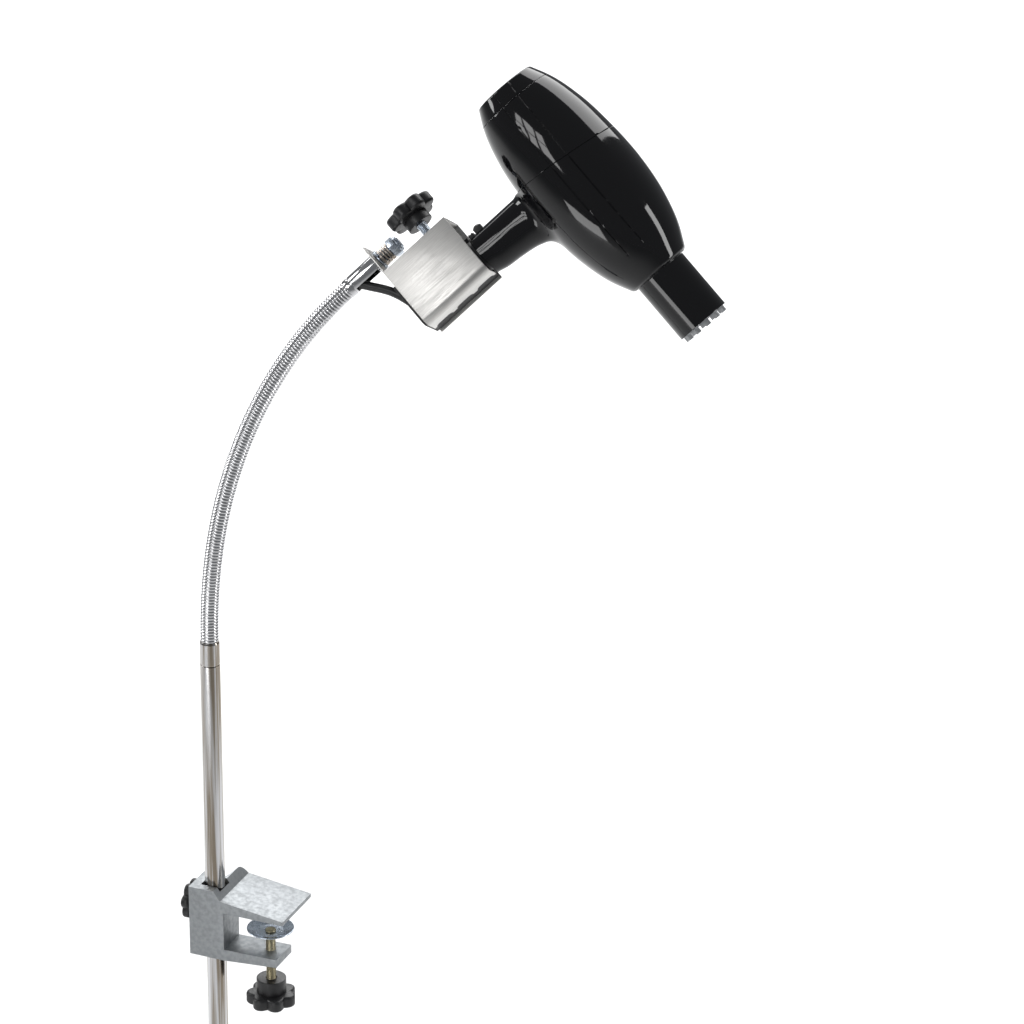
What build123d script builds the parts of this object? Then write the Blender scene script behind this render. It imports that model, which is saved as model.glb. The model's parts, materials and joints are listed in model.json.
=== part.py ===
from build123d import *
import math
import os

# Clamp-mounted pet dryer: a hand-held hot-air dryer gripped in a sheet-metal holder on a
# bendable metal neck, which stands on a steel pole held in a cast table clamp.
# Millimetres. Origin: on the flat underside of the upper jaw, on the clamp screw's axis.
# +X runs along the jaws towards the table, +Z up along the pole.

# ---- driving dimensions ---------------------------------------------------------------
RUN_GAP = 0.3            # clearance between bodies that pass each other
FIT_GAP = 0.06           # radial clearance of a shaft in its hole

JAW_TIP_X = 18.5         # front end of the upper jaw
JAW_BACK_Y = 37.0        # the upper jaw reaches further back than the block
JAW_ROOT_T = 10.3        # upper jaw thickness at the block
JAW_TIP_T = 3.4
THROAT = 33.0            # opening between the jaws
BLOCK_X = (-64.5, -34.0)
BLOCK_Y = (-16.0, 12.0)
BLOCK_TOP = 18.0
BLOCK_BOTTOM = -43.0
BEVEL_X = -42.5          # the block's top steps down to the jaw from here
JAW_ROOT_X = -36.7
LOWER_JAW_X = 12.5
LOWER_TIP_T = 7.0
LOWER_RISE = 0.8         # the lower jaw toes in a little

POLE_X = -48.6
POLE_R = 8.0
POLE_BORE_R = 6.0
POLE_BOTTOM = -157.0
POLE_TOP = 212.0
POLE_HOLE = 17.0         # side of the square hole in the block

NECK_BOTTOM = 232.0      # centre of the lowest neck joint
NECK_LENGTH = 317.4
NECK_LINKS = 10
NECK_R = 7.2
NECK_BORE_R = 3.9
BALL_R = 6.4
SOCKET_R = 6.7
SOCKET_RIM = 0.4         # how far a socket reaches past its joint centre
SHOULDER = 2.4           # where a link's full diameter starts above its joint centre
NECK_AZIMUTH = 33.5      # direction that the neck leans to, from +X
LEAN_TERMS = (28.0, 28.0, -8.0)   # lean at the fraction t of the neck: a*t + b*t^2 + c*t^3

HOLDER_ROLL = -39.2      # turn of the holder about the neck's end
HOLDER_X = (31.2, 93.7)  # the holder box, along the neck's end axis
HOLDER_Y = (14.5, 68.8)  # along the holder screw
HOLDER_Z = (-18.8, 18.8)
SHEET_T = 1.5
LINER_T = 2.0
BEND_R = 6.0
EAR_TIP_Y = -10.5
FLANGE_Z = 3.0           # the cover's flange ends here
SCALLOP_DEPTH = 4.0      # and its edge is scalloped this deep

STEM_R = 4.76            # 3/8 inch pivot stem
NUT_AF = 14.3

SCREW_R = 4.0            # M8
SCREW_PITCH = 1.25
SET_R = 3.0              # M6
SET_Z = -2.0             # height of the pole's set screw
PAD_R = 19.0
PAD_RIM_Z = -12.6        # the clamp pad's rim
PAD_DISH = 3.4
KNOB_R = 20.3
KNOB_LOBES = 7
KNOB_HUB_R = 12.0
HOLDER_SCREW_X = 74.5    # holder screw, along the neck's end axis

HANDLE_Y = 53.4          # handle axis in the holder's frame
BARREL_X = 189.6         # barrel axis in the holder's frame
DRYER_TURN = 12.9        # turn of the dryer about its handle
HANDLE_LEAN = 1.4        # the handle is this far from square to the barrel
WALL = 2.2               # moulded wall of the dryer
REAR_X = -83.5           # along the barrel, from the handle axis
CAP_X = -69.9            # seam of the rear cap
SEAM_X = -12.2           # seam between the rear and front housings
SEAM_TILT = 6.0
SHELL_END_X = 97.5
SPIGOT_R = 21.5
SPIGOT_END_X = 147.5
CROWN_END_X = 151.5
BARREL_OUTLINE = (       # (along the barrel, radius)
    (REAR_X, 25.2), (CAP_X, 32.0), (-41.5, 40.2), (-11.5, 43.8),
    (21.5, 44.6), (56.5, 40.4), (79.5, 33.8), (SHELL_END_X, 25.2),
)
HANDLE_REAR = -17.0      # rear edge of the grip
GRIP_SECTIONS = (        # (down the handle, width along the barrel, width across)
    (24.0, 62.0, 36.0), (43.0, 45.5, 31.0), (56.0, 39.5, 29.5),
    (72.0, 36.5, 29.0), (86.0, 35.0, 28.0), (94.0, 33.0, 27.0),
)
GRIP_END = 94.0
COLLAR_X = (-15.6, 11.6)  # the handle's end collar, along the barrel
COLLAR_END = 126.0
RELIEF_END = 146.0
BUTTON_U = 83.5          # cool-air button, down the handle
ROCKER_U = 90.6
SCREW_SPOT = (9.0, 81.0)  # housing screw, along the barrel and down the handle

HOLDER_PAD_Y = HANDLE_Y + COLLAR_X[0] - RUN_GAP   # the holder pad's face on the handle

CORD_R = 3.5
CORD_TOP_Z = -195.0
COIL_R = 40.0            # radius at the middle of the turns
COIL_SECTION_R = 11.5
COIL_Z = -290.0
PLUG_TOP_Z = -355.0

LOOP_ROUTE = (           # dryer cord in the holder's frame, from the handle into the ferrule
    (43.6, 53.4, 0.0), (38.4, 53.4, 0.0), (33.2, 48.8, 0.0), (30.4, 41.4, 0.0),
    (27.7, 32.2, 0.0), (24.2, 24.2, 0.0), (19.8, 17.4, 0.0), (15.3, 11.4, 0.0),
    (11.0, 5.2, 0.0), (7.0, 1.7, 0.0), (2.8, 0.0, 0.0), (-3.4, 0.0, 0.0),
)
SIDE_X = POLE_X + 15.2   # the supply cord passes the coil on its outer side
LEAD_ROUTE = (           # supply cord in the row frame, from the pole's end to the coil
    (POLE_X, 0.0, CORD_TOP_Z), (POLE_X, 0.0, -211.0), (POLE_X + 3.6, 0.8, -229.0),
    (POLE_X + 9.4, 1.4, -250.0), (POLE_X + 14.2, 0.8, -269.0), (SIDE_X, 0.0, -279.0),
    (SIDE_X, 0.0, COIL_Z + 0.05),
)
TAIL_ROUTE = (           # from the coil to the plug
    (SIDE_X, 0.0, COIL_Z - 0.05), (SIDE_X, 0.0, -302.0), (SIDE_X - 1.6, -1.2, -317.0),
    (SIDE_X - 4.2, -2.0, -334.0), (SIDE_X - 5.0, -2.0, -346.0), (SIDE_X - 5.0, -2.0, PLUG_TOP_Z),
)
PLUG_X = SIDE_X - 5.0
PLUG_Y = -2.0


# ---- frames ---------------------------------------------------------------------------
def neck_lean(t):
    """Lean of the neck from vertical, in degrees, at the fraction t of its length."""
    a, b, c = LEAN_TERMS
    return a * t + b * t ** 2 + c * t ** 3


def neck_stations():
    """(distance from the pole axis, height, lean) at both ends of every link."""
    step = NECK_LENGTH / NECK_LINKS
    out = 0.0
    z = NECK_BOTTOM
    stations = [(out, z, neck_lean(0.0))]
    for i in range(NECK_LINKS):
        lean0 = neck_lean(i / NECK_LINKS)
        lean1 = neck_lean((i + 1) / NECK_LINKS)
        half = math.radians((lean1 - lean0) / 2)
        middle = math.radians((lean0 + lean1) / 2)
        chord = step * math.sin(half) / half
        out += chord * math.sin(middle)
        z += chord * math.cos(middle)
        stations.append((out, z, lean1))
    return stations


def neck_frame(station):
    """Plane at a neck station: z along the neck, x to the outside of its bend, y level."""
    out, z, lean = station
    east = Vector(math.cos(math.radians(NECK_AZIMUTH)), math.sin(math.radians(NECK_AZIMUTH)), 0)
    up = Vector(0, 0, 1)
    tilt = math.radians(lean)
    along = east * math.sin(tilt) + up * math.cos(tilt)
    outside = east * math.cos(tilt) - up * math.sin(tilt)
    origin = Vector(POLE_X, 0, z) + east * out
    return Plane(origin=origin, x_dir=outside, z_dir=along)


def holder_frame():
    """Plane at the neck's end: x along the neck, y along the holder screw, z to the back."""
    end = neck_frame(neck_stations()[-1])
    roll = math.radians(HOLDER_ROLL)
    screw = end.x_dir * math.cos(roll) + end.y_dir * math.sin(roll)
    return Plane(origin=end.origin, x_dir=end.z_dir, z_dir=end.z_dir.cross(screw))


HOLDER = holder_frame()


def square_to_handle():
    """The barrel's direction, square to the handle."""
    turn = math.radians(DRYER_TURN)
    return HOLDER.y_dir * math.cos(turn) + HOLDER.z_dir * math.sin(turn)


def dryer_frame():
    """Plane on the barrel axis over the handle: x to the nozzle, z away from the handle."""
    lean = math.radians(HANDLE_LEAN)
    square = square_to_handle()
    nozzle = square * math.cos(lean) - HOLDER.x_dir * math.sin(lean)
    away = HOLDER.x_dir * math.cos(lean) + square * math.sin(lean)
    origin = HOLDER.origin + HOLDER.x_dir * BARREL_X + HOLDER.y_dir * HANDLE_Y
    return Plane(origin=origin, x_dir=nozzle, z_dir=away)


DRYER = dryer_frame()
# z down the handle from the barrel axis, x towards the nozzle
HANDLE = Plane(origin=DRYER.origin, x_dir=square_to_handle(), z_dir=HOLDER.x_dir * -1)
# z along the barrel towards the nozzle, y away from the handle
BARREL = Plane(origin=DRYER.origin, x_dir=DRYER.y_dir, z_dir=DRYER.x_dir)
BARREL_IN_DRYER = Plane(origin=(0, 0, 0), x_dir=(0, 1, 0), z_dir=(1, 0, 0)).location
HANDLE_IN_DRYER = Rot(0, -HANDLE_LEAN, 0) * Rot(180, 0, 0)


# ---- helpers --------------------------------------------------------------------------
def rod(r, z0, z1):
    """Round bar along Z."""
    return Pos(0, 0, (z0 + z1) / 2) * Cylinder(r, abs(z1 - z0))


def ring(outer, inner, z0, z1):
    """Round tube along Z."""
    return rod(outer, z0, z1) - rod(inner, z0 - 1, z1 + 1)


def brick(x, y, z):
    """Box between two corners, given as (low, high) pairs."""
    centre = Pos((x[0] + x[1]) / 2, (y[0] + y[1]) / 2, (z[0] + z[1]) / 2)
    return centre * Box(x[1] - x[0], y[1] - y[0], z[1] - z[0])


def turned(points):
    """Solid of revolution about Z from (radius, z) corners."""
    return revolve(Plane.XZ * make_face(Polyline(*points, close=True)), Axis.Z)


def side_profile(points, y):
    """Prism along Y from (x, z) corners, between the two values of y."""
    face = make_face(Polyline(*points, close=True))
    return Pos(0, y[1], 0) * (Plane.XZ * extrude(face, y[1] - y[0], dir=(0, 0, 1)))


def placed(plane, shape):
    """The shape moved from its own frame to where the plane stands."""
    return plane.location * shape


def along_x(shape, x=0, y=0, z=0):
    """A shape made along Z, turned to run along +X from the given point."""
    return Pos(x, y, z) * Rot(0, 90, 0) * shape


def along_y(shape, x=0, y=0, z=0):
    """A shape made along Z, turned to run along +Y from the given point."""
    return Pos(x, y, z) * Rot(-90, 0, 0) * shape


def star_knob(hub, star_t, r=KNOB_R, hub_r=KNOB_HUB_R, bore_r=SCREW_R):
    """Star knob below z = 0: a hub of length hub, then the star, with a blind bore."""
    lobe_r = r * 0.25
    outline = Circle(r * 0.8)
    for spot in PolarLocations(r - lobe_r, KNOB_LOBES):
        outline += spot * Circle(lobe_r)
    star = Pos(0, 0, -hub - star_t) * extrude(outline, star_t)
    bore_depth = hub + star_t - 3
    return star + rod(hub_r, -hub - 0.5, 0) - rod(bore_r, -bore_depth, 1)


def cord_tube(name, points):
    """Round cord along straight runs with the largest tangent arcs, whose radii it prints."""
    corners = [Vector(*p) for p in points]
    radii = []
    for before, here, after in zip(corners, corners[1:], corners[2:]):
        turn = math.radians((here - before).get_angle(after - here))
        shorter = min((here - before).length, (after - here).length)
        radii.append(0.45 * shorter / math.tan(turn / 2))
    path = FilletPolyline(*corners, radius=radii)
    start = Plane(origin=corners[0], z_dir=corners[1] - corners[0])
    tube = sweep(start * Circle(CORD_R), path=path)
    section = math.pi * CORD_R ** 2
    print(name, "radii", [round(r, 1) for r in radii], "length", round(path.length, 1),
          "volume ratio", round(tube.volume / section / path.length, 4))
    return tube


# ---- table clamp ----------------------------------------------------------------------
def clamp_frame():
    jaw_step = ((BEVEL_X, BLOCK_TOP), (JAW_ROOT_X, JAW_ROOT_T), (JAW_TIP_X, JAW_TIP_T), (JAW_TIP_X, 0))
    throat_top = -THROAT + LOWER_RISE
    narrow = side_profile(
        ((BLOCK_X[0], BLOCK_BOTTOM), (BLOCK_X[0], BLOCK_TOP)) + jaw_step
        + ((BLOCK_X[1], 0), (BLOCK_X[1], -THROAT), (LOWER_JAW_X, throat_top),
           (LOWER_JAW_X, throat_top - LOWER_TIP_T), (BLOCK_X[1], BLOCK_BOTTOM)),
        BLOCK_Y,
    )
    root_x = BEVEL_X - 4
    wide = side_profile(((root_x, 0), (root_x, BLOCK_TOP)) + jaw_step, (BLOCK_Y[0], JAW_BACK_Y))
    plan = make_face(Polyline(
        (root_x, BLOCK_Y[0]), (JAW_TIP_X, BLOCK_Y[0]), (JAW_TIP_X, JAW_BACK_Y),
        (BEVEL_X + 1, JAW_BACK_Y), (BEVEL_X - 2, BLOCK_Y[1]), (root_x, BLOCK_Y[1]), close=True,
    ))
    back_left = plan.vertices().sort_by(Axis.Y)[-2:].sort_by(Axis.X)[0]
    plan = fillet(back_left, 8.0)
    body = narrow + (wide & extrude(plan, BLOCK_TOP, dir=(0, 0, 1)))
    pole_hole = Pos(POLE_X, 0, 0) * Box(POLE_HOLE, POLE_HOLE, 200)
    screw_hole = rod(SCREW_R + FIT_GAP, BLOCK_BOTTOM - 5, -THROAT + 5)
    set_hole = along_x(rod(SET_R + FIT_GAP, -2, 12), BLOCK_X[0], 0, SET_Z)
    return body - pole_hole - screw_hole - set_hole


PAD_DISH_Z = PAD_RIM_Z - PAD_DISH
PAD_LOW_Z = PAD_DISH_Z - 1.2
CLAMP_HUB_Z = -58.5
TIP_NECK_R = SCREW_R - 0.9


def clamp_pad():
    """Dished washer, held by the screw's peened end."""
    bore = TIP_NECK_R + FIT_GAP
    return turned((
        (bore, PAD_LOW_Z), (10, PAD_LOW_Z), (PAD_R, PAD_RIM_Z - 1.2), (PAD_R, PAD_RIM_Z),
        (10, PAD_DISH_Z), (bore, PAD_DISH_Z),
    ))


def clamp_screw():
    """Screw with a shoulder under the pad and its end peened over above it."""
    shank = rod(SCREW_R, CLAMP_HUB_Z - 18, PAD_LOW_Z - RUN_GAP)
    neck = rod(TIP_NECK_R, PAD_LOW_Z - 1, PAD_DISH_Z + 1)
    peened = rod(SCREW_R + 0.6, PAD_DISH_Z + RUN_GAP, PAD_DISH_Z + 1.8)
    return shank + neck + peened


def clamp_knob():
    return Pos(0, 0, CLAMP_HUB_Z) * star_knob(12.5, 10.0)


def pole_screw_tip():
    """Brass pressure pad between the set screw and the pole."""
    inner = POLE_X - POLE_R - RUN_GAP
    return along_x(rod(2.4, -2.4, 0), inner, 0, SET_Z)


def pole_screw():
    inner = POLE_X - POLE_R - RUN_GAP - 2.4
    return along_x(rod(SET_R, BLOCK_X[0] - inner - 5, 0), inner, 0, SET_Z)


def pole_screw_knob():
    knob = star_knob(0.6, 7.0, r=16.5, hub_r=8.0, bore_r=SET_R)
    return along_x(knob, BLOCK_X[0] - 0.5, 0, SET_Z)


# ---- pole, its end bush and the supply cord ---------------------------------------------
def pole_tube():
    return Pos(POLE_X, 0, 0) * ring(POLE_R, POLE_BORE_R, POLE_BOTTOM, POLE_TOP)


def neck_collar():
    """Crimped collar: a spigot in the pole, and the neck's lowest socket."""
    body = rod(POLE_R, POLE_TOP, NECK_BOTTOM + SOCKET_RIM) + rod(POLE_BORE_R, POLE_TOP - 16, POLE_TOP)
    body -= rod(NECK_BORE_R, POLE_TOP - 20, NECK_BOTTOM)
    body -= Pos(0, 0, NECK_BOTTOM) * Sphere(SOCKET_R)
    return Pos(POLE_X, 0, 0) * body


def pole_end_bush():
    """Rubber bush that turns in the pole's lower end, with the cord's tapered relief."""
    plug = rod(POLE_BORE_R - FIT_GAP, POLE_BOTTOM - 1, POLE_BOTTOM + 15)
    flange_top = POLE_BOTTOM - RUN_GAP
    flange = rod(POLE_R, flange_top - 4, flange_top)
    taper = turned(((0, flange_top - 4), (6.2, flange_top - 4), (4.4, CORD_TOP_Z), (0, CORD_TOP_Z)))
    return Pos(POLE_X, 0, 0) * (plug + flange + taper)


def supply_coil():
    """Outer shape of the wound cord, in a plane through the pole axis."""
    wreath = Torus(COIL_R, COIL_SECTION_R)
    return Pos(POLE_X - COIL_R, 0, COIL_Z) * Rot(90, 0, 0) * wreath


def cord_tie():
    """Strap round the turns and the cord that runs past them."""
    low = POLE_X - COIL_SECTION_R - 0.6
    high = SIDE_X + CORD_R + 0.2
    across = 2 * COIL_SECTION_R + 1.2
    inner = SlotOverall(high - low, across)
    outer = SlotOverall(high - low + 3, across + 3)
    return Pos((low + high) / 2, 0, COIL_Z - 4) * extrude(outer - inner, 8)


def plug_body():
    neck = turned(((0, 0), (4.4, 0), (7.0, -18), (0, -18)))
    case = Pos(0, 0, -31) * extrude(RectangleRounded(26, 18, 5), 13)
    return Pos(PLUG_X, PLUG_Y, PLUG_TOP_Z) * (neck + case)


def plug_pins():
    pins = Part()
    for x in (-6.35, 6.35):
        pins += Pos(PLUG_X + x, PLUG_Y, PLUG_TOP_Z - 39.5) * Box(1.5, 6.3, 17)
    return pins


# ---- neck -----------------------------------------------------------------------------
def neck_link(i):
    """One length of the metal hose: a ball at its lower end, a socket at its upper end."""
    stations = neck_stations()
    step = NECK_LENGTH / NECK_LINKS
    bend = math.radians(stations[i + 1][2] - stations[i][2])
    radius = step / bend
    centre = Axis((radius, 0, 0), (0, 1, 0))
    last = i == NECK_LINKS - 1
    top = step if last else step + SOCKET_RIM

    def bent(r, s0, s1):
        piece = revolve(Circle(r), centre, math.degrees((s1 - s0) / radius))
        return piece.rotate(centre, math.degrees(s0 / radius))

    body = bent(NECK_R, SHOULDER, top) + Sphere(BALL_R)
    if not last:
        end = Vector(radius * (1 - math.cos(bend)), 0, radius * math.sin(bend))
        body -= Pos(*end) * Sphere(SOCKET_R)
    body -= bent(NECK_BORE_R, -BALL_R - 2, top + 2)
    return placed(neck_frame(stations[i]), body)


# ---- ferrule and swivel at the neck's end -----------------------------------------------
FERRULE_R = 7.5
FERRULE_END = HOLDER_X[0] - RUN_GAP


def end_ferrule():
    """Chromed ferrule with an opening in its lower side for the dryer's cord."""
    body = rod(FERRULE_R, 0, FERRULE_END) - rod(5.6, 2, 21) - rod(NECK_BORE_R + 0.6, -1, 3)
    body -= rod(STEM_R, 20, FERRULE_END + 1)
    body -= ring(FERRULE_R + 1, FERRULE_R - 0.6, 4.2, 5.4)
    body = along_x(body)
    return placed(HOLDER, body - brick((5.9, 27.9), (0.6, 9.0), (-5.0, 5.0)))


def pivot_stem():
    return placed(HOLDER, along_x(rod(STEM_R, 22, 54)))


def friction_washer():
    x = HOLDER_X[0] + SHEET_T + RUN_GAP
    return placed(HOLDER, along_x(ring(8.2, STEM_R, x, x + 1.6)))


def pivot_spring():
    """Compression spring, closed at both ends, drawn as its separate turns."""
    first = HOLDER_X[0] + SHEET_T + RUN_GAP + 1.6
    wire_r = 1.05
    pitch = 2.6
    turns = Part()
    for i in range(4):
        turns += Pos(0, 0, first + wire_r + i * pitch) * Torus(7.3 - wire_r, wire_r)
    return placed(HOLDER, along_x(turns))


NUT_X = 44.9


def pivot_nut():
    """Self-locking nut: a hexagon with a round collar behind it."""
    hexagon = extrude(RegularPolygon(NUT_AF / 2, 6, major_radius=False), 6.0)
    nut = Pos(0, 0, NUT_X) * (hexagon + rod(6.4, 5.5, 8.0)) - rod(STEM_R, NUT_X - 1, NUT_X + 10)
    return placed(HOLDER, along_x(nut))


# ---- holder ---------------------------------------------------------------------------
def holder_bracket():
    """Bent sheet: the wall that takes the screw, the rear wall, and the pivot ear."""
    x0, x1 = HOLDER_X
    wall = brick((x0, x1), (HOLDER_Y[0], HOLDER_Y[0] + SHEET_T), (HOLDER_Z[0] + SHEET_T, HOLDER_Z[1]))
    rear = brick((x0, x1), (HOLDER_Y[0], HOLDER_Y[1] + 1.0), (HOLDER_Z[1] - SHEET_T, HOLDER_Z[1]))
    ear = brick((x0, x0 + SHEET_T), (EAR_TIP_Y, HOLDER_Y[0] + SHEET_T), HOLDER_Z)
    ear -= brick((x0 - 1, x0 + 3), (HOLDER_Y[0], HOLDER_Y[1]), (HOLDER_Z[0] - 1, HOLDER_Z[0] + SHEET_T))
    body = wall + rear + ear
    body -= along_x(rod(STEM_R + FIT_GAP, x0 - 1, x0 + 3))
    body -= along_y(rod(SCREW_R + 0.5, HOLDER_Y[0] - 1, HOLDER_Y[0] + 3), HOLDER_SCREW_X)
    return placed(HOLDER, body)


def holder_cover():
    """Bent sheet: the front face, and a flange with a scalloped edge."""
    x0, x1 = HOLDER_X
    outer = RectangleRounded(80, 80, BEND_R)
    inner = RectangleRounded(80 - 2 * SHEET_T, 80 - 2 * SHEET_T, BEND_R - SHEET_T)
    # the outline is in Y and Z, with one rounded corner where front and flange meet
    shell = extrude(outer - inner, x1 - x0)
    shell = Pos(x0, HOLDER_Y[1] - 40, HOLDER_Z[0] + 40) * (Plane.YZ * shell)
    shell &= brick((x0, x1), (HOLDER_Y[0], HOLDER_Y[1] + 1), (HOLDER_Z[0] - 1, FLANGE_Z))
    span = (x1 - x0) / 3
    for i in range(3):
        middle = x0 + span * (i + 0.5)
        cut = extrude(SlotOverall(span * 0.78, 2 * SCALLOP_DEPTH), 10)
        shell -= Pos(middle, HOLDER_Y[1] + 5, FLANGE_Z) * Rot(90, 0, 0) * cut
    return placed(HOLDER, shell)


def holder_liner():
    """Rubber lining inside the front, flange and rear walls."""
    x = (HOLDER_X[0] - 2.0, HOLDER_X[1] - 1.0)
    z0 = HOLDER_Z[0] + SHEET_T
    z1 = HOLDER_Z[1] - SHEET_T
    y0 = HOLDER_Y[0] + 14
    y1 = HOLDER_Y[1] - SHEET_T
    bend = BEND_R - SHEET_T
    corner = Cylinder(bend, x[1] - x[0]) - Cylinder(bend - LINER_T, 100)
    corner = along_x(corner, (x[0] + x[1]) / 2, y1 - bend, z0 + bend)
    corner &= brick(x, (y1 - bend, y1 + 1), (z0 - 1, z0 + bend))
    front = brick(x, (y0, y1 - bend), (z0, z0 + LINER_T))
    side = brick(x, (y1 - LINER_T, y1), (z0 + bend, z1 - LINER_T))
    rear = brick(x, (y0, y1), (z1 - LINER_T, z1))
    return placed(HOLDER, front + corner + side + rear)


def holder_weld_nut():
    nut = extrude(RegularPolygon(6.5, 6, major_radius=False), 6.5) - rod(SCREW_R + FIT_GAP, -1, 8)
    return placed(HOLDER, along_y(nut, HOLDER_SCREW_X, HOLDER_Y[0] + SHEET_T))


def holder_pad():
    """Round pressure pad that bears on the handle's collar."""
    cup = rod(8.0, HOLDER_PAD_Y - 3.5, HOLDER_PAD_Y)
    return placed(HOLDER, along_y(cup, HOLDER_SCREW_X))


HOLDER_HUB_Y = 1.5


def holder_screw():
    tip = HOLDER_PAD_Y - 3.5 - 0.05
    return placed(HOLDER, along_y(rod(SCREW_R, HOLDER_HUB_Y - 15, tip), HOLDER_SCREW_X))


def holder_knob():
    return placed(HOLDER, along_y(Pos(0, 0, HOLDER_HUB_Y) * star_knob(8.0, 10.0), HOLDER_SCREW_X))


# ---- dryer ----------------------------------------------------------------------------
def barrel_solid(inset=0.0):
    """The barrel's outline turned about its axis, set in by a wall where asked."""
    points = [(r - inset, x) for x, r in BARREL_OUTLINE]
    curve = Spline(*points)
    base = Polyline(points[-1], (0, SHELL_END_X), (0, REAR_X), points[0])
    return revolve(Plane.XZ * make_face(curve + base), Axis.Z)


def grip_solid(inset=0.0):
    """The handle's grip, lofted down its axis and flared into the barrel."""
    faces = []
    for u, wide, across in GRIP_SECTIONS:
        middle = HANDLE_REAR + wide / 2
        faces.append(Pos(middle, 0, u) * Ellipse(wide / 2 - inset, across / 2 - inset))
    return loft(faces)


def behind_seam():
    """Large block behind the tilted seam, in the dryer's frame."""
    return Pos(SEAM_X, 0, 0) * Rot(0, SEAM_TILT, 0) * brick((-200, 0), (-100, 100), (-100, 100))


def screw_hole(r, y0, y1):
    """Bar across the handle at the housing screw, in the handle's frame."""
    return along_y(rod(r, y0, y1), SCREW_SPOT[0], 0, SCREW_SPOT[1])


def front_housing():
    """Barrel front and grip as one hollow shape, in the dryer's frame."""
    outer = BARREL_IN_DRYER * barrel_solid() + HANDLE_IN_DRYER * grip_solid()
    inner = BARREL_IN_DRYER * barrel_solid(WALL) + HANDLE_IN_DRYER * grip_solid(WALL)
    boss = HANDLE_IN_DRYER * (screw_hole(4.2, -20, 20) & grip_solid())
    drilled = HANDLE_IN_DRYER * (screw_hole(1.45, -8.5, 20) + screw_hole(3.1, 8.4, 20))
    switches = HANDLE_IN_DRYER * (button_hole() + rocker_hole())
    return outer - inner - behind_seam() + boss - drilled - switches


def housing_half(side):
    """Half of the front housing: side is -1 or +1 along the dryer's Y."""
    keep = brick((-120, 120), tuple(sorted((0, side * 80))), (-140, 80))
    return placed(DRYER, FRONT_HOUSING & keep)


def housing_screw():
    return placed(HANDLE, screw_hole(1.4, -8, 9) + screw_hole(2.8, 8.5, 10.3))


def rear_housing():
    shell = BARREL_IN_DRYER * (barrel_solid() - barrel_solid(WALL)) & behind_seam()
    return placed(DRYER, shell - brick((-200, CAP_X), (-100, 100), (-100, 100)))


def rear_cap():
    """Cap over the air inlet, with ring-shaped slots in its face."""
    shell = (barrel_solid() - barrel_solid(WALL)) & rod(100, REAR_X - 1, CAP_X - RUN_GAP)
    face_r = BARREL_OUTLINE[0][1] - 0.5
    face = rod(face_r, REAR_X, REAR_X + WALL)
    for r in (5, 9, 13, 17, 21):
        face -= ring(r + 1.1, r - 1.1, REAR_X - 1, REAR_X + 5)
    for angle in range(0, 180, 45):
        face += Rot(0, 0, angle) * Pos(0, 0, REAR_X + WALL / 2) * Box(2 * face_r - 1, 1.8, WALL)
    return placed(BARREL, shell + face)


def inlet_filter():
    return placed(BARREL, rod(23.8, REAR_X + WALL + 0.3, REAR_X + WALL + 3.3))


def spigot_tube():
    """Outlet tube, which air nozzles push on to."""
    body = ring(SPIGOT_R, SPIGOT_R - WALL, SHELL_END_X - 10, SPIGOT_END_X)
    lip = ring(26.0, SPIGOT_R - 0.5, SHELL_END_X - 10, SHELL_END_X - 8)
    step = ring(22.9, SPIGOT_R - 0.5, SHELL_END_X - 4, SHELL_END_X - 0.4)
    return placed(BARREL, body + lip + step)


def outlet_crown():
    """Grey outlet ring with a castellated edge and a cross grille."""
    outer = SPIGOT_R - WALL - 0.1
    body = ring(outer, outer - 1.8, SPIGOT_END_X - 12, CROWN_END_X)
    for angle in range(0, 180, 30):
        gap = Box(60, 5.2, 8)
        body -= Rot(0, 0, angle + 15) * Pos(0, 0, SPIGOT_END_X + 4) * gap
    for angle in (0, 90):
        bar = Rot(0, 0, angle) * Pos(0, 0, SPIGOT_END_X - 8) * Box(2 * outer - 2, 1.6, 6)
        body += bar
    return placed(BARREL, body + ring(9, 7.6, SPIGOT_END_X - 11, SPIGOT_END_X - 5))


def heat_tube():
    """Insulating tube round the heater."""
    return placed(BARREL, ring(SPIGOT_R - WALL - 0.5, SPIGOT_R - WALL - 1.3, 40, SPIGOT_END_X - 14))


def heater_former():
    """Crossed insulating boards that carry the heating wire."""
    boards = Part()
    for angle in (0, 60, 120):
        boards += Rot(0, 0, angle) * Pos(0, 0, 86) * Box(31, 0.8, 84)
    return placed(BARREL, boards - rod(2.0, 30, 140))


def heater_coil():
    """Heating wire, wound round the boards in separate turns."""
    turns = Part()
    for i in range(11):
        turns += Pos(0, 0, 52 + i * 6.4) * Torus(16.4, 0.7)
    return placed(BARREL, turns)


def thermal_cutout():
    return placed(BARREL, Pos(0, 0, 38.0) * Box(6, 14, 7))


def motor_mount():
    """Fixed vanes that hold the motor in the barrel."""
    hub = ring(14.6, 12.6, -26, 8)
    rim = ring(39.4, 37.8, -26, -2)
    for i in range(7):
        hub += Rot(0, 0, i * 360 / 7) * Pos(26.2, 0, -14) * Rot(20, 0, 0) * Box(24.4, 1.4, 18)
    return placed(BARREL, hub + rim)


def motor_case():
    return placed(BARREL, rod(12.5, -25, 7) - rod(1.6, -30, -8))


def fan_rotor():
    """Axial fan on the motor's shaft."""
    rotor = rod(9.0, -46, -33) + rod(1.55, -46, -9)
    for i in range(9):
        rotor += Rot(0, 0, i * 40) * Pos(19.5, 0, -39.5) * Rot(38, 0, 0) * Box(23, 1.4, 14)
    rotor &= rod(31.5, -60, 20)
    return placed(BARREL, rotor)


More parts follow.
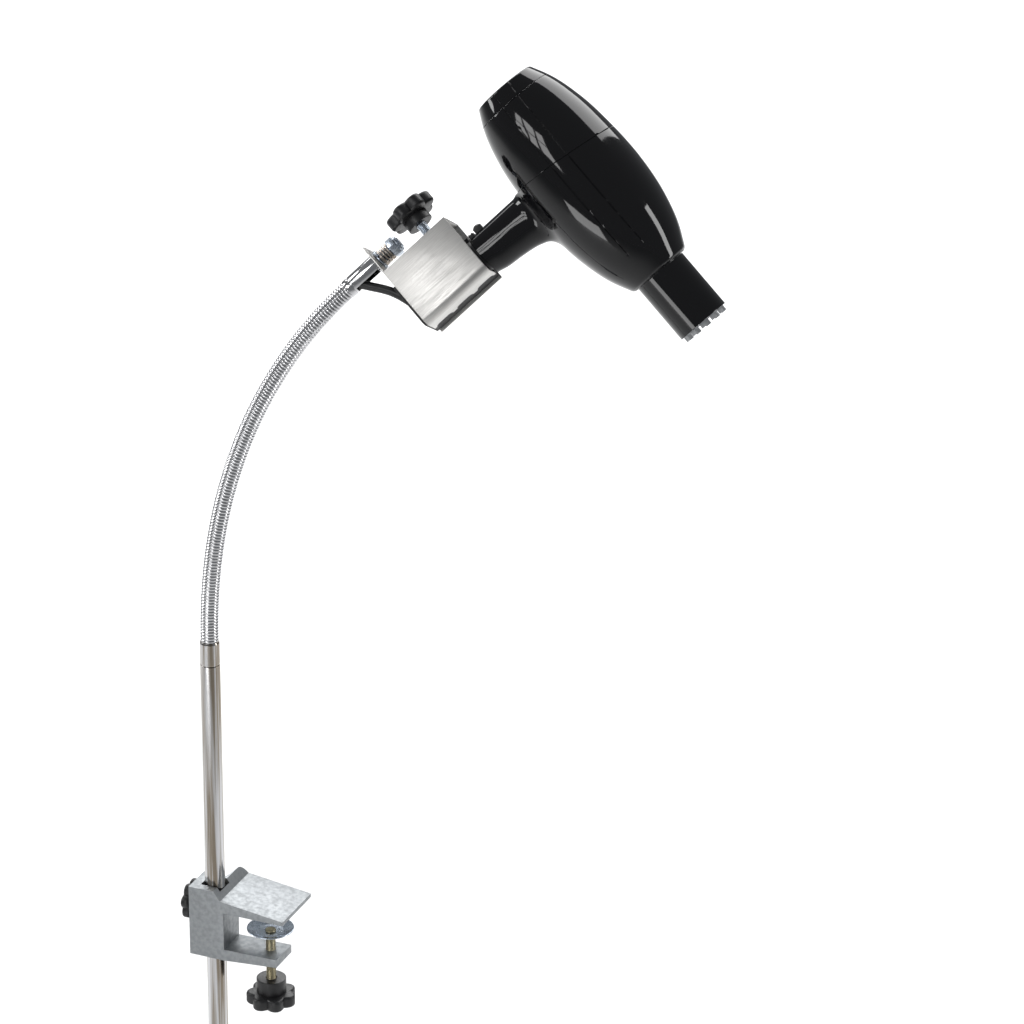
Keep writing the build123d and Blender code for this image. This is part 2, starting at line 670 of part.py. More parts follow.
# ---- dryer handle -----------------------------------------------------------------------
def button_hole():
    return Pos(HANDLE_REAR, 0, BUTTON_U) * Box(10, 7.0, 7.6)


def rocker_hole():
    return Pos(HANDLE_REAR, 0, ROCKER_U) * Box(10, 10.6, 5.0)


def cool_button():
    """Domed push button on the rear edge of the grip."""
    cap = Pos(HANDLE_REAR, 0, BUTTON_U) * Box(7, 6.4, 7.0)
    dome = Pos(HANDLE_REAR - 0.6, 0, BUTTON_U) * Sphere(4.4)
    dome &= Pos(HANDLE_REAR - 3.6, 0, BUTTON_U) * Box(5, 6.4, 7.0)
    return placed(HANDLE, cap + dome)


def rocker_switch():
    """Ridged rocker just above the holder's mouth."""
    rocker = Pos(HANDLE_REAR + 1.0, 0, ROCKER_U) * Box(5.4, 10, 4.2)
    for u in (-1.2, 1.2):
        rocker += along_y(rod(0.7, -5, 5), HANDLE_REAR - 1.7, 0, ROCKER_U + u)
    return placed(HANDLE, rocker)


def switch_block():
    return placed(HANDLE, Pos(-3.0, 0, 83.0) * Box(13, 16, 18))


def handle_collar():
    """Stiff collar on the grip's end, which the holder grips."""
    middle = (COLLAR_X[0] + COLLAR_X[1]) / 2
    half = (COLLAR_X[1] - COLLAR_X[0]) / 2
    collar = Pos(middle, 0, GRIP_END + 0.1) * extrude(Ellipse(half, 13.0), COLLAR_END - GRIP_END)
    return placed(HANDLE, collar - rod(CORD_R + 1.5, GRIP_END - 1, COLLAR_END - 6))


def cord_relief():
    """Tapered rubber sleeve where the cord leaves the handle."""
    top = COLLAR_END + 0.1
    return placed(HANDLE, turned(((0, top), (6.6, top), (4.5, RELIEF_END), (0, RELIEF_END))))


def lead_wires():
    """Insulated wires from the switch up to the motor and heater."""
    wires = Part()
    for x, y in ((-6, 0), (-3, -3), (-3, 3)):
        wires += Pos(x, y, 0) * rod(1.1, 44, 73.9)
    return placed(HANDLE, wires)


FRONT_HOUSING = front_housing()


# ---- every piece, by its node name --------------------------------------------------------
def make_nodes():
    nodes = {
        "clamp_frame": clamp_frame(),
        "clamp_pad": clamp_pad(),
        "clamp_screw": clamp_screw(),
        "clamp_knob": clamp_knob(),
        "pole_screw_tip": pole_screw_tip(),
        "pole_screw": pole_screw(),
        "pole_screw_knob": pole_screw_knob(),
        "pole_tube": pole_tube(),
        "neck_collar": neck_collar(),
        "pole_end_bush": pole_end_bush(),
        "supply_lead": cord_tube("supply_lead", LEAD_ROUTE),
        "supply_coil": supply_coil(),
        "supply_tail": cord_tube("supply_tail", TAIL_ROUTE),
        "cord_tie": cord_tie(),
        "plug_body": plug_body(),
        "plug_pins": plug_pins(),
        "end_ferrule": end_ferrule(),
        "pivot_stem": pivot_stem(),
        "friction_washer": friction_washer(),
        "pivot_spring": pivot_spring(),
        "pivot_nut": pivot_nut(),
        "holder_bracket": holder_bracket(),
        "holder_cover": holder_cover(),
        "holder_liner": holder_liner(),
        "holder_weld_nut": holder_weld_nut(),
        "holder_pad": holder_pad(),
        "holder_screw": holder_screw(),
        "holder_knob": holder_knob(),
        "housing_left": housing_half(-1),
        "housing_right": housing_half(1),
        "rear_housing": rear_housing(),
        "rear_cap": rear_cap(),
        "inlet_filter": inlet_filter(),
        "spigot_tube": spigot_tube(),
        "outlet_crown": outlet_crown(),
        "heat_tube": heat_tube(),
        "heater_former": heater_former(),
        "heater_coil": heater_coil(),
        "thermal_cutout": thermal_cutout(),
        "motor_mount": motor_mount(),
        "motor_case": motor_case(),
        "fan_rotor": fan_rotor(),
        "cool_button": cool_button(),
        "rocker_switch": rocker_switch(),
        "switch_block": switch_block(),
        "handle_collar": handle_collar(),
        "cord_relief": cord_relief(),
        "lead_wires": lead_wires(),
        "housing_screw": housing_screw(),
        "dryer_cord": placed(HOLDER, cord_tube("dryer_cord", LOOP_ROUTE)),
    }
    for i in range(NECK_LINKS):
        nodes[f"neck_link_{i + 1:02d}"] = neck_link(i)
    return nodes


if __name__ == "__main__":
    os.makedirs("parts", exist_ok=True)
    for name, shape in make_nodes().items():
        export_step(shape, f"parts/{name}.step")
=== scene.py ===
"""Clamp-mounted pet dryer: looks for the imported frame, laid out as an add-on of piece operators."""
import json
import math

import bmesh
import bpy
import numpy as np
from bpy.props import FloatProperty, FloatVectorProperty, IntProperty, PointerProperty
from mathutils import Matrix, Vector


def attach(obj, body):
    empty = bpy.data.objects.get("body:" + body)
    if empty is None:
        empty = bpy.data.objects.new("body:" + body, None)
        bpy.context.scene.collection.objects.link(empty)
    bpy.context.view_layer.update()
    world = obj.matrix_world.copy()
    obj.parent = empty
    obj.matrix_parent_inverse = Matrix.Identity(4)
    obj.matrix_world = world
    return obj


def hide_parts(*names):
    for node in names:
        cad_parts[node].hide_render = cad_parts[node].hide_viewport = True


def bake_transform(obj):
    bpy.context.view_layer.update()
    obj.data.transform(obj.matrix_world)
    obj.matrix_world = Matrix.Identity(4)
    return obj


bl_info = {
    "name": "Clamp-Mounted Pet Dryer",
    "version": (1, 0, 0),
    "blender": (4, 5, 0),
    "location": "View3D > Sidebar > Pet Dryer",
    "description": "Builds a pet dryer in its holder on a bendable neck and a table clamp",
    "category": "Add Mesh",
}

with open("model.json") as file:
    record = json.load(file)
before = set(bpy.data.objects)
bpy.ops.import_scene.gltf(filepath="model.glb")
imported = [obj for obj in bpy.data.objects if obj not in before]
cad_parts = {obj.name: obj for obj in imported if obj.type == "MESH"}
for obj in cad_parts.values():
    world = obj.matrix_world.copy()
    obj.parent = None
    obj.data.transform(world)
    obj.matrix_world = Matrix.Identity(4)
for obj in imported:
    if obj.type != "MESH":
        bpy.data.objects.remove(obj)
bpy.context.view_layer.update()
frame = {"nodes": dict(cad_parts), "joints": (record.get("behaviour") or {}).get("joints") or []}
JOINTS = {j["name"]: j for j in frame["joints"]}
MM = 0.001

# Control points of the cord loop, in metres in the holder's frame
LOOP_ROUTE = (
    (0.0436, 0.0534, 0.0), (0.0384, 0.0534, 0.0), (0.0332, 0.0488, 0.0), (0.0304, 0.0414, 0.0),
    (0.0277, 0.0322, 0.0), (0.0242, 0.0242, 0.0), (0.0198, 0.0174, 0.0), (0.0153, 0.0114, 0.0),
    (0.0110, 0.0052, 0.0), (0.0070, 0.0017, 0.0), (0.0028, 0.0, 0.0), (-0.0034, 0.0, 0.0),
)
POLE_X = -0.0486
# Control points of the supply cord above and below its coil, in metres
LEAD_ROUTE = (
    (POLE_X, 0.0, -0.195), (POLE_X, 0.0, -0.211), (POLE_X + 0.0036, 0.0008, -0.229),
    (POLE_X + 0.0094, 0.0, -0.250), (POLE_X + 0.0090, -0.004, -0.269),
)
TAIL_ROUTE = (
    (POLE_X + 0.0072, 0.0060, -0.302), (POLE_X + 0.0105, 0.0025, -0.317),
    (POLE_X + 0.0112, -0.0018, -0.334), (POLE_X + 0.0102, -0.0020, -0.346),
    (POLE_X + 0.0102, -0.0020, -0.355),
)
COIL_RADIUS = 0.040
COIL_CENTRE = (POLE_X - COIL_RADIUS, 0.0, -0.290)
COIL_TURNS = 6
POINTS_PER_TURN = 24
CORD_SPACING = 0.0076    # between the middles of two turns
FIRST_SHIFT = 265        # degrees wound before the cord first moves to its next place in the bundle
SHIFT_EVERY = 310        # degrees from one move to the next
SHIFT_LONG = 45          # degrees that a move takes


# ---- sizes, colours and stage settings ------------------------------------------------
def colour(name, value, text):
    return FloatVectorProperty(name=name, description=text, default=value, size=3, min=0.0, max=1.0,
                               subtype="COLOR")


def length(name, value, text):
    return FloatProperty(name=name, description=text, default=value, min=0.0, unit="LENGTH", precision=5)


class DryerSizes(bpy.types.PropertyGroup):
    hose_radius: length("Hose radius", 0.0072, "Outer radius of the ringed metal hose")
    ring_pitch: length("Ring pitch", 0.00252, "Distance from one ring of the hose to the next")
    ring_depth: length("Ring depth", 0.00075, "Depth of the groove between two rings")
    screw_radius: length("Screw radius", 0.0040, "Outer radius of the clamp and holder screws")
    thread_pitch: length("Thread pitch", 0.00125, "Advance of the screw threads in one turn")
    thread_depth: length("Thread depth", 0.00065, "Depth of the screw threads")
    knob_radius: length("Knob radius", 0.0203, "Radius of the star knobs over their lobes")
    knob_lobes: IntProperty(name="Knob lobes", description="Lobes on a star knob", default=7, min=3)
    cord_diameter: length("Cord diameter", 0.0070, "Diameter of the mains cord")
    wall: length("Wall", 0.0022, "Wall of the dryer's mouldings")
    seam_gap: length("Seam gap", 0.00022, "Gap between two mouldings at a seam")


class DryerColours(bpy.types.PropertyGroup):
    gloss_black: colour("Gloss black", (0.0035, 0.0035, 0.0042), "Dryer mouldings")
    satin_black: colour("Satin black", (0.012, 0.012, 0.013), "Knobs and small mouldings")
    rubber_black: colour("Rubber black", (0.010, 0.010, 0.011), "Liner, bush and cord")
    cast_metal: colour("Cast metal", (0.30, 0.315, 0.325), "Sand-cast clamp")
    sheet_metal: colour("Sheet metal", (0.62, 0.61, 0.59), "Brushed holder sheets")
    bright_metal: colour("Bright metal", (0.66, 0.66, 0.67), "Pole, ferrule and hose")
    # Painted reflection: darker brownish lengthwise streaks mixed into the pole's colour stand in for the
    # dark surroundings that a bright tube reflects
    pole_painted_reflection: colour("Pole painted reflection", (0.27, 0.23, 0.18), "Darker lengthwise streaks on the pole")
    zinc_yellow: colour("Yellow zinc", (0.55, 0.49, 0.33), "Clamp screw")
    zinc_blue: colour("Blue zinc", (0.56, 0.62, 0.70), "Pad, holder screw, nut and washer")
    spring_metal: colour("Spring wire", (0.58, 0.52, 0.46), "Swivel spring")
    crown_grey: colour("Outlet grey", (0.36, 0.37, 0.38), "Castellated outlet ring")


class DryerStage(bpy.types.PropertyGroup):
    camera_place: FloatVectorProperty(name="Camera place", description="Where the camera stands",
                                      default=(1.39704, -2.83385, 1.75498), subtype="TRANSLATION")
    azimuth: FloatProperty(name="Azimuth", description="Turn of the view to the left of +Y",
                           default=math.radians(22.78), subtype="ANGLE")
    elevation: FloatProperty(name="Elevation", description="Slope of the view down from level",
                             default=math.radians(23.98), subtype="ANGLE")
    roll: FloatProperty(name="Roll", description="Roll of the camera",
                        default=math.radians(0.41), subtype="ANGLE")
    lens: FloatProperty(name="Lens", description="Focal length on a 36 mm wide sensor", default=158.2)
    floor_z: FloatProperty(name="Floor height", description="Height of the pale floor", default=-0.46,
                           unit="LENGTH")


# ---- frames of the object's own parts ---------------------------------------------------
def axis_of(joint):
    return Vector(JOINTS[joint]["axis"]).normalized()


def point_of(joint):
    return Vector(JOINTS[joint]["pos_m"])


def axes(origin, x, y):
    """Matrix of a right-handed frame from its origin and its x and y directions."""
    z = x.cross(y).normalized()
    m = Matrix((x, z.cross(x), z)).transposed().to_4x4()
    m.translation = origin
    return m


NOZZLE = axis_of("fan_spin")
HOLDER = axes(point_of("holder_swivel") - axis_of("holder_swivel") * 0.0312,
              axis_of("holder_swivel"), axis_of("holder_pad_travel"))
BARREL_CENTRE = point_of("fan_spin") + NOZZLE * 0.040
HANDLE = axes(BARREL_CENTRE, axis_of("cool_button_push"), axis_of("speed_rocker_tilt"))
DRYER = axes(BARREL_CENTRE, NOZZLE, -axis_of("speed_rocker_tilt"))
# z runs along the barrel to the nozzle, y away from the handle
BARREL = axes(BARREL_CENTRE, DRYER.to_3x3().col[1], DRYER.to_3x3().col[2])
HOLDER_SCREW = HOLDER @ Matrix.Translation((0.0745, 0, 0)) @ Matrix.Rotation(-math.pi / 2, 4, "X")
POLE = Matrix.Translation((POLE_X, 0, 0))
SET_SCREW = Matrix.Translation((-0.0645, 0, -0.002)) @ Matrix.Rotation(math.pi / 2, 4, "Y")
NECK_AXIS = HOLDER @ Matrix.Rotation(math.pi / 2, 4, "Y")


# ---- mesh helpers -----------------------------------------------------------------------
def rounded(points, radius, steps=4, closed=False):
    """The outline in millimetres with its corners rounded, as points in metres."""
    made = []
    count = len(points)
    for i, point in enumerate(points):
        here = Vector(point[:2])
        own = point[2] if len(point) > 2 else radius
        inner = closed or 0 < i < count - 1
        if not inner or own <= 0:
            made.append(here * MM)
            continue
        back = Vector(points[i - 1][:2]) - here
        on = Vector(points[(i + 1) % count][:2]) - here
        turn = math.pi - back.angle(on)
        if turn < 0.02:
            made.append(here * MM)
            continue
        cut = min(own * math.tan(turn / 2), 0.48 * back.length, 0.48 * on.length)
        a, b = here + back.normalized() * cut, here + on.normalized() * cut
        for k in range(steps + 1):
            t = k / steps
            made.append((a * (1 - t) ** 2 + here * 2 * t * (1 - t) + b * t ** 2) * MM)
    return made


def spun(outline, segments=96, closed=False):
    """Mesh data from a (radius, z) outline in metres spun about Z."""
    bm = bmesh.new()
    rings = []
    for r, z in outline:
        if r < 1e-7:
            rings.append([bm.verts.new((0, 0, z))])
            continue
        turn = [2 * math.pi * k / segments for k in range(segments)]
        rings.append([bm.verts.new((r * math.cos(a), r * math.sin(a), z)) for a in turn])
    pairs = list(zip(rings, rings[1:]))
    if closed:
        pairs.append((rings[-1], rings[0]))
    for low, high in pairs:
        for k in range(segments):
            n = (k + 1) % segments
            corners = [low[k % len(low)], low[n % len(low)], high[n % len(high)], high[k % len(high)]]
            face = list(dict.fromkeys(corners))
            if len(face) > 2:
                bm.faces.new(face)
    return bm


def block(x, y, z):
    """Mesh data of a box between pairs of values in metres."""
    bm = bmesh.new()
    bmesh.ops.create_cube(bm, size=1.0)
    size = Vector((x[1] - x[0], y[1] - y[0], z[1] - z[0]))
    centre = Vector((x[0] + x[1], y[0] + y[1], z[0] + z[1])) / 2
    bmesh.ops.scale(bm, vec=size, verts=bm.verts)
    bmesh.ops.translate(bm, vec=centre, verts=bm.verts)
    return bm


def to_object(bm, name, place=None, smooth=32):
    """A linked object from mesh data, moved to its place, with smooth faces and sharp edges."""
    bmesh.ops.remove_doubles(bm, verts=bm.verts, dist=1e-7)
    bmesh.ops.recalc_face_normals(bm, faces=bm.faces)
    mesh = bpy.data.meshes.new(name)
    bm.to_mesh(mesh)
    bm.free()
    if place is not None:
        mesh.transform(place)
    return link(mesh, name, smooth)


def link(mesh, name, smooth=32):
    for polygon in mesh.polygons:
        polygon.use_smooth = True
    mesh.set_sharp_from_angle(angle=math.radians(smooth))
    piece = bpy.data.objects.new(name, mesh)
    bpy.context.scene.collection.objects.link(piece)
    return piece


def applied(piece):
    """The piece with its modifiers made part of its mesh."""
    graph = bpy.context.evaluated_depsgraph_get()
    graph.update()
    mesh = bpy.data.meshes.new_from_object(piece.evaluated_get(graph))
    piece.modifiers.clear()
    old = piece.data
    piece.data = mesh
    if old.users == 0:
        bpy.data.meshes.remove(old)
    return piece


def bevelled(piece, width, segments=3, angle=30):
    """The piece with its edges broken by a bevel."""
    bevel = piece.modifiers.new("Edges", "BEVEL")
    bevel.width = width
    bevel.segments = segments
    bevel.limit_method = "ANGLE"
    bevel.angle_limit = math.radians(angle)
    bevel.harden_normals = False
    applied(piece)
    for polygon in piece.data.polygons:
        polygon.use_smooth = True
    piece.data.set_sharp_from_angle(angle=math.radians(32))
    return piece


def copied(node, name, bevel=0.0003, segments=3, angle=30):
    """A merged copy of a CAD node's mesh, with its edges broken."""
    bm = bmesh.new()
    bm.from_mesh(frame["nodes"][node].data)
    bmesh.ops.remove_doubles(bm, verts=bm.verts, dist=2e-6)
    bmesh.ops.dissolve_limit(bm, angle_limit=math.radians(0.6), verts=bm.verts, edges=bm.edges)
    piece = to_object(bm, name)
    return bevelled(piece, bevel, segments, angle) if bevel else piece


def dress(piece, material, body, *nodes):
    """The piece takes its finish, rides on its body and stands for its CAD nodes."""
    piece.data.materials.clear()
    piece.data.materials.append(material)
    if body:
        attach(piece, body)
    if nodes:
        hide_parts(*nodes)
    return piece


def merged(name, *pieces):
    """One object from several."""
    bm = bmesh.new()
    for piece in pieces:
        bm.from_mesh(piece.data)
        mesh = piece.data
        bpy.data.objects.remove(piece)
        bpy.data.meshes.remove(mesh)
    mesh = bpy.data.meshes.new(name)
    bm.to_mesh(mesh)
    bm.free()
    return link(mesh, name)


# ---- Geometry Nodes trees -----------------------------------------------------------------
def new_tree(name, inputs):
    """An empty modifier tree with a geometry input, the named inputs and a geometry output."""
    tree = bpy.data.node_groups.new(name, "GeometryNodeTree")
    tree.is_modifier = True
    tree.interface.new_socket("Geometry", in_out="INPUT", socket_type="NodeSocketGeometry")
    for label, kind in inputs:
        tree.interface.new_socket(label, in_out="INPUT", socket_type=kind)
    tree.interface.new_socket("Geometry", in_out="OUTPUT", socket_type="NodeSocketGeometry")
    return tree, tree.nodes.new("NodeGroupInput"), tree.nodes.new("NodeGroupOutput")


def wire(tree, source, target, out=0, into=0):
    tree.links.new(source.outputs[out], target.inputs[into])
    return target


def maths(tree, operation, first=None, second=None):
    """A Math node whose inputs are sockets or numbers."""
    node = tree.nodes.new("ShaderNodeMath")
    node.operation = operation
    for i, value in enumerate((first, second)):
        if value is None:
            continue
        if isinstance(value, (int, float)):
            node.inputs[i].default_value = value
        else:
            tree.links.new(value, node.inputs[i])
    return node.outputs[0]


def finish_tree(tree, geometry, given, out):
    """Realize Instances, smooth shading and the material at the end of a tree."""
    realize = wire(tree, geometry, tree.nodes.new("GeometryNodeRealizeInstances"))
    smooth = wire(tree, realize, tree.nodes.new("GeometryNodeSetShadeSmooth"))
    painted = wire(tree, smooth, tree.nodes.new("GeometryNodeSetMaterial"))
    tree.links.new(given.outputs["Material"], painted.inputs["Material"])
    wire(tree, painted, out)
    return tree


def ringed_hose_tree():
    """A curve made a metal hose of round rings with narrow grooves between them."""
    tree, given, out = new_tree("Ringed hose", (
        ("Radius", "NodeSocketFloat"), ("Pitch", "NodeSocketFloat"), ("Depth", "NodeSocketFloat"),
        ("Start", "NodeSocketFloat"), ("Material", "NodeSocketMaterial")))
    fine = tree.nodes.new("GeometryNodeResampleCurve")
    fine.mode = "LENGTH"
    wire(tree, given, fine)
    tree.links.new(maths(tree, "DIVIDE", given.outputs["Pitch"], 12.0), fine.inputs["Length"])
    along = tree.nodes.new("GeometryNodeSplineParameter")
    run = maths(tree, "ADD", along.outputs["Length"], given.outputs["Start"])
    turn = maths(tree, "MULTIPLY", maths(tree, "DIVIDE", run, given.outputs["Pitch"]), math.pi)
    bump = maths(tree, "POWER", maths(tree, "ABSOLUTE", maths(tree, "SINE", turn)), 0.55)
    groove = maths(tree, "MULTIPLY", maths(tree, "SUBTRACT", 1.0, bump), given.outputs["Depth"])
    share = maths(tree, "DIVIDE", groove, given.outputs["Radius"])
    radius = tree.nodes.new("GeometryNodeSetCurveRadius")
    wire(tree, fine, radius)
    tree.links.new(maths(tree, "SUBTRACT", 1.0, share), radius.inputs["Radius"])
    circle = tree.nodes.new("GeometryNodeCurvePrimitiveCircle")
    circle.inputs["Resolution"].default_value = 40
    tree.links.new(given.outputs["Radius"], circle.inputs["Radius"])
    hose = tree.nodes.new("GeometryNodeCurveToMesh")
    wire(tree, radius, hose)
    wire(tree, circle, hose, 0, 1)
    hose.inputs["Fill Caps"].default_value = True
    if "Scale" in hose.inputs:
        size = tree.nodes.new("GeometryNodeInputRadius")
        tree.links.new(size.outputs[0], hose.inputs["Scale"])
    return finish_tree(tree, hose, given, out)


def thread_tree():
    """A tube along Z whose surface is cut with a helical thread."""
    tree, given, out = new_tree("Thread", (
        ("Pitch", "NodeSocketFloat"), ("Depth", "NodeSocketFloat"), ("Material", "NodeSocketMaterial")))
    place = tree.nodes.new("GeometryNodeInputPosition")
    split = wire(tree, place, tree.nodes.new("ShaderNodeSeparateXYZ"))
    angle = maths(tree, "ARCTAN2", split.outputs["Y"], split.outputs["X"])
    turns = maths(tree, "DIVIDE", angle, 2 * math.pi)
    rise = maths(tree, "DIVIDE", split.outputs["Z"], given.outputs["Pitch"])
    wave = maths(tree, "PINGPONG", maths(tree, "SUBTRACT", rise, turns), 0.5)
    cut = maths(tree, "MULTIPLY", maths(tree, "MULTIPLY", wave, -2.0), given.outputs["Depth"])
    radial = tree.nodes.new("ShaderNodeVectorMath")
    radial.operation = "MULTIPLY"
    radial.inputs[1].default_value = (1, 1, 0)
    wire(tree, place, radial)
    unit = tree.nodes.new("ShaderNodeVectorMath")
    unit.operation = "NORMALIZE"
    wire(tree, radial, unit)
    shift = tree.nodes.new("ShaderNodeVectorMath")
    shift.operation = "SCALE"
    wire(tree, unit, shift)
    tree.links.new(cut, shift.inputs["Scale"])
    moved = tree.nodes.new("GeometryNodeSetPosition")
    wire(tree, given, moved)
    wire(tree, shift, moved, 0, "Offset")
    return finish_tree(tree, moved, given, out)


def around_tree():
    """Copies of a piece, spaced evenly round Z."""
    tree, given, out = new_tree("Copies around an axis", (
        ("Count", "NodeSocketInt"), ("Material", "NodeSocketMaterial")))
    points = tree.nodes.new("GeometryNodePoints")
    tree.links.new(given.outputs["Count"], points.inputs["Count"])
    number = tree.nodes.new("GeometryNodeInputIndex")
    share = maths(tree, "DIVIDE", number.outputs[0], given.outputs["Count"])
    turn = tree.nodes.new("ShaderNodeCombineXYZ")
    tree.links.new(maths(tree, "MULTIPLY", share, 2 * math.pi), turn.inputs["Z"])
    copies = tree.nodes.new("GeometryNodeInstanceOnPoints")
    wire(tree, points, copies)
    tree.links.new(given.outputs["Geometry"], copies.inputs["Instance"])
    tree.links.new(turn.outputs[0], copies.inputs["Rotation"])
    return finish_tree(tree, copies, given, out)


def grown(piece, tree, place=None, smooth=40, **values):
    """The piece run through a tree with the named inputs, as a plain mesh in its place."""
    modifier = piece.modifiers.new(tree.name, "NODES")
    modifier.node_group = tree
    for item in tree.interface.items_tree:
        if item.item_type == "SOCKET" and item.in_out == "INPUT" and item.name in values:
            modifier[item.identifier] = values[item.name]
    graph = bpy.context.evaluated_depsgraph_get()
    graph.update()
    mesh = bpy.data.meshes.new_from_object(piece.evaluated_get(graph))
    name = piece.name
    bpy.data.objects.remove(piece)
    if place is not None:
        mesh.transform(place)
    mesh.name = name
    return link(mesh, name, smooth)


# ---- materials ------------------------------------------------------------------------------
def finish(name, base, metallic=0.0, rough=(0.3, 0.4), vary=0.0, scale=400.0, stretch=(1, 1, 1),
           turn=None, bump=0.0, bump_scale=None, bump_stretch=(1, 1, 1), coat=0.0, ior=1.5, specular=0.5,
           anisotropic=0.0, second=None):
    """A finish whose colour, roughness and bump vary over the surface."""
    material = bpy.data.materials.new(name)
    material.use_nodes = True
    tree = material.node_tree
    shader = tree.nodes["Principled BSDF"]
    shader.inputs["Base Color"].default_value = (*base, 1)
    shader.inputs["Metallic"].default_value = metallic
    shader.inputs["Coat Weight"].default_value = coat
    shader.inputs["Coat Roughness"].default_value = 0.05
    shader.inputs["IOR"].default_value = ior
    shader.inputs["Specular IOR Level"].default_value = specular
    shader.inputs["Anisotropic"].default_value = anisotropic
    place = tree.nodes.new("ShaderNodeTexCoord")
    source = place.outputs["Object"]
    if turn is not None:
        level = tree.nodes.new("ShaderNodeMapping")
        level.vector_type = "POINT"
        level.inputs["Rotation"].default_value = turn.to_3x3().inverted().to_euler()
        tree.links.new(source, level.inputs["Vector"])
        source = level.outputs[0]

    def noise(size, pull, detail=4.0):
        mapping = tree.nodes.new("ShaderNodeMapping")
        mapping.inputs["Scale"].default_value = pull
        tree.links.new(source, mapping.inputs["Vector"])
        node = tree.nodes.new("ShaderNodeTexNoise")
        node.inputs["Scale"].default_value = size
        node.inputs["Detail"].default_value = detail
        tree.links.new(mapping.outputs[0], node.inputs["Vector"])
        return node.outputs["Fac"]

    grain = noise(scale, stretch)
    spread = tree.nodes.new("ShaderNodeMapRange")
    spread.inputs["From Min"].default_value = 0.3
    spread.inputs["From Max"].default_value = 0.7
    spread.inputs["To Min"].default_value = rough[0]
    spread.inputs["To Max"].default_value = rough[1]
    tree.links.new(grain, spread.inputs["Value"])
    tree.links.new(spread.outputs[0], shader.inputs["Roughness"])
    if vary or second:
        mix = tree.nodes.new("ShaderNodeMix")
        mix.data_type = "RGBA"
        mix.inputs["A"].default_value = (*[min(1.0, c * (1 + vary)) for c in base], 1)
        mix.inputs["B"].default_value = (*(second or [c * (1 - vary) for c in base]), 1)
        contrast = tree.nodes.new("ShaderNodeMapRange")
        contrast.inputs["From Min"].default_value = 0.38
        contrast.inputs["From Max"].default_value = 0.62
        tree.links.new(grain, contrast.inputs["Value"])
        tree.links.new(contrast.outputs[0], mix.inputs["Factor"])
        tree.links.new(mix.outputs["Result"], shader.inputs["Base Color"])
    if bump:
        relief = tree.nodes.new("ShaderNodeBump")
        relief.inputs["Strength"].default_value = 1.0
        relief.inputs["Distance"].default_value = bump
        tree.links.new(noise(bump_scale or scale, bump_stretch, 6.0), relief.inputs["Height"])
        tree.links.new(relief.outputs[0], shader.inputs["Normal"])
    return material


def make_finishes(c):
    """Every finish on the object, by its name."""
    return {
        "gloss": finish("Gloss black moulding", c.gloss_black, rough=(0.035, 0.075), scale=90, ior=1.49,
                        bump=0.000004, bump_scale=700),
        "satin": finish("Satin black moulding", c.satin_black, rough=(0.32, 0.46), scale=900,
                        bump=0.00006, bump_scale=2600),
        "rubber": finish("Black rubber", c.rubber_black, rough=(0.5, 0.68), scale=700,
                         bump=0.00008, bump_scale=1800),
        "cord": finish("Cord sheath", c.rubber_black, rough=(0.34, 0.46), scale=600,
                       bump=0.00003, bump_scale=1500),
        "cast": finish("Sand-cast aluminium", c.cast_metal, 0.8, (0.38, 0.56), vary=0.07, scale=260,
                       bump=0.00012, bump_scale=1100),
        "sheet": finish("Brushed sheet", c.sheet_metal, 1.0, (0.34, 0.48), vary=0.05, scale=160,
                        stretch=(0.35, 9.0, 9.0), turn=HOLDER, bump=0.00002, bump_scale=420,
                        bump_stretch=(0.15, 8.0, 8.0), anisotropic=0.4),
        "chrome": finish("Chromed steel", c.bright_metal, 1.0, (0.08, 0.17), vary=0.05, scale=60,
                         bump=0.000006, bump_scale=500),
        # The second colour is painted reflection: stretched noise mixes darker streaks along the pole in
        # place of reflected dark surroundings
        "pole": finish("Drawn bright tube", c.bright_metal, 1.0, (0.10, 0.22), second=c.pole_painted_reflection, scale=150,
                       stretch=(2.6, 2.6, 0.05), bump=0.00001, bump_scale=240, bump_stretch=(7.0, 7.0, 0.15),
                       anisotropic=0.3),
        "hose": finish("Ringed hose steel", c.bright_metal, 1.0, (0.13, 0.26), vary=0.10, scale=220,
                       bump=0.00001, bump_scale=900),
        "yellow": finish("Yellow zinc", c.zinc_yellow, 1.0, (0.24, 0.38), scale=300, vary=0.08,
                         bump=0.000008, bump_scale=900),
        "blue": finish("Blue zinc", c.zinc_blue, 1.0, (0.22, 0.32), scale=200, vary=0.05,
                       bump=0.000008, bump_scale=900),
        "spring": finish("Spring wire", c.spring_metal, 1.0, (0.25, 0.42), scale=600, vary=0.2),
        "crown": finish("Outlet ring grey", c.crown_grey, 0.0, (0.38, 0.52), scale=500, vary=0.08,
                        bump=0.00004, bump_scale=1500),
        "brass": finish("Brass", (0.60, 0.42, 0.18), 1.0, (0.2, 0.35), scale=500, vary=0.1),
        "mica": finish("Mica board", (0.60, 0.53, 0.40), 0.0, (0.4, 0.6), scale=300, vary=0.2),
        "wire": finish("Heating wire", (0.34, 0.31, 0.28), 1.0, (0.35, 0.5), scale=500, vary=0.2),
        "plated": finish("Plated steel", (0.60, 0.60, 0.58), 1.0, (0.25, 0.38), scale=420, vary=0.1),
        "nickel": finish("Nickel blades", (0.66, 0.63, 0.57), 1.0, (0.16, 0.28), scale=420, vary=0.05),
        "lead": finish("White lead wire", (0.72, 0.72, 0.68), 0.0, (0.4, 0.5), scale=500, vary=0.05),
    }


SHOP = {}


def sizes():
    return bpy.context.scene.pet_dryer_sizes


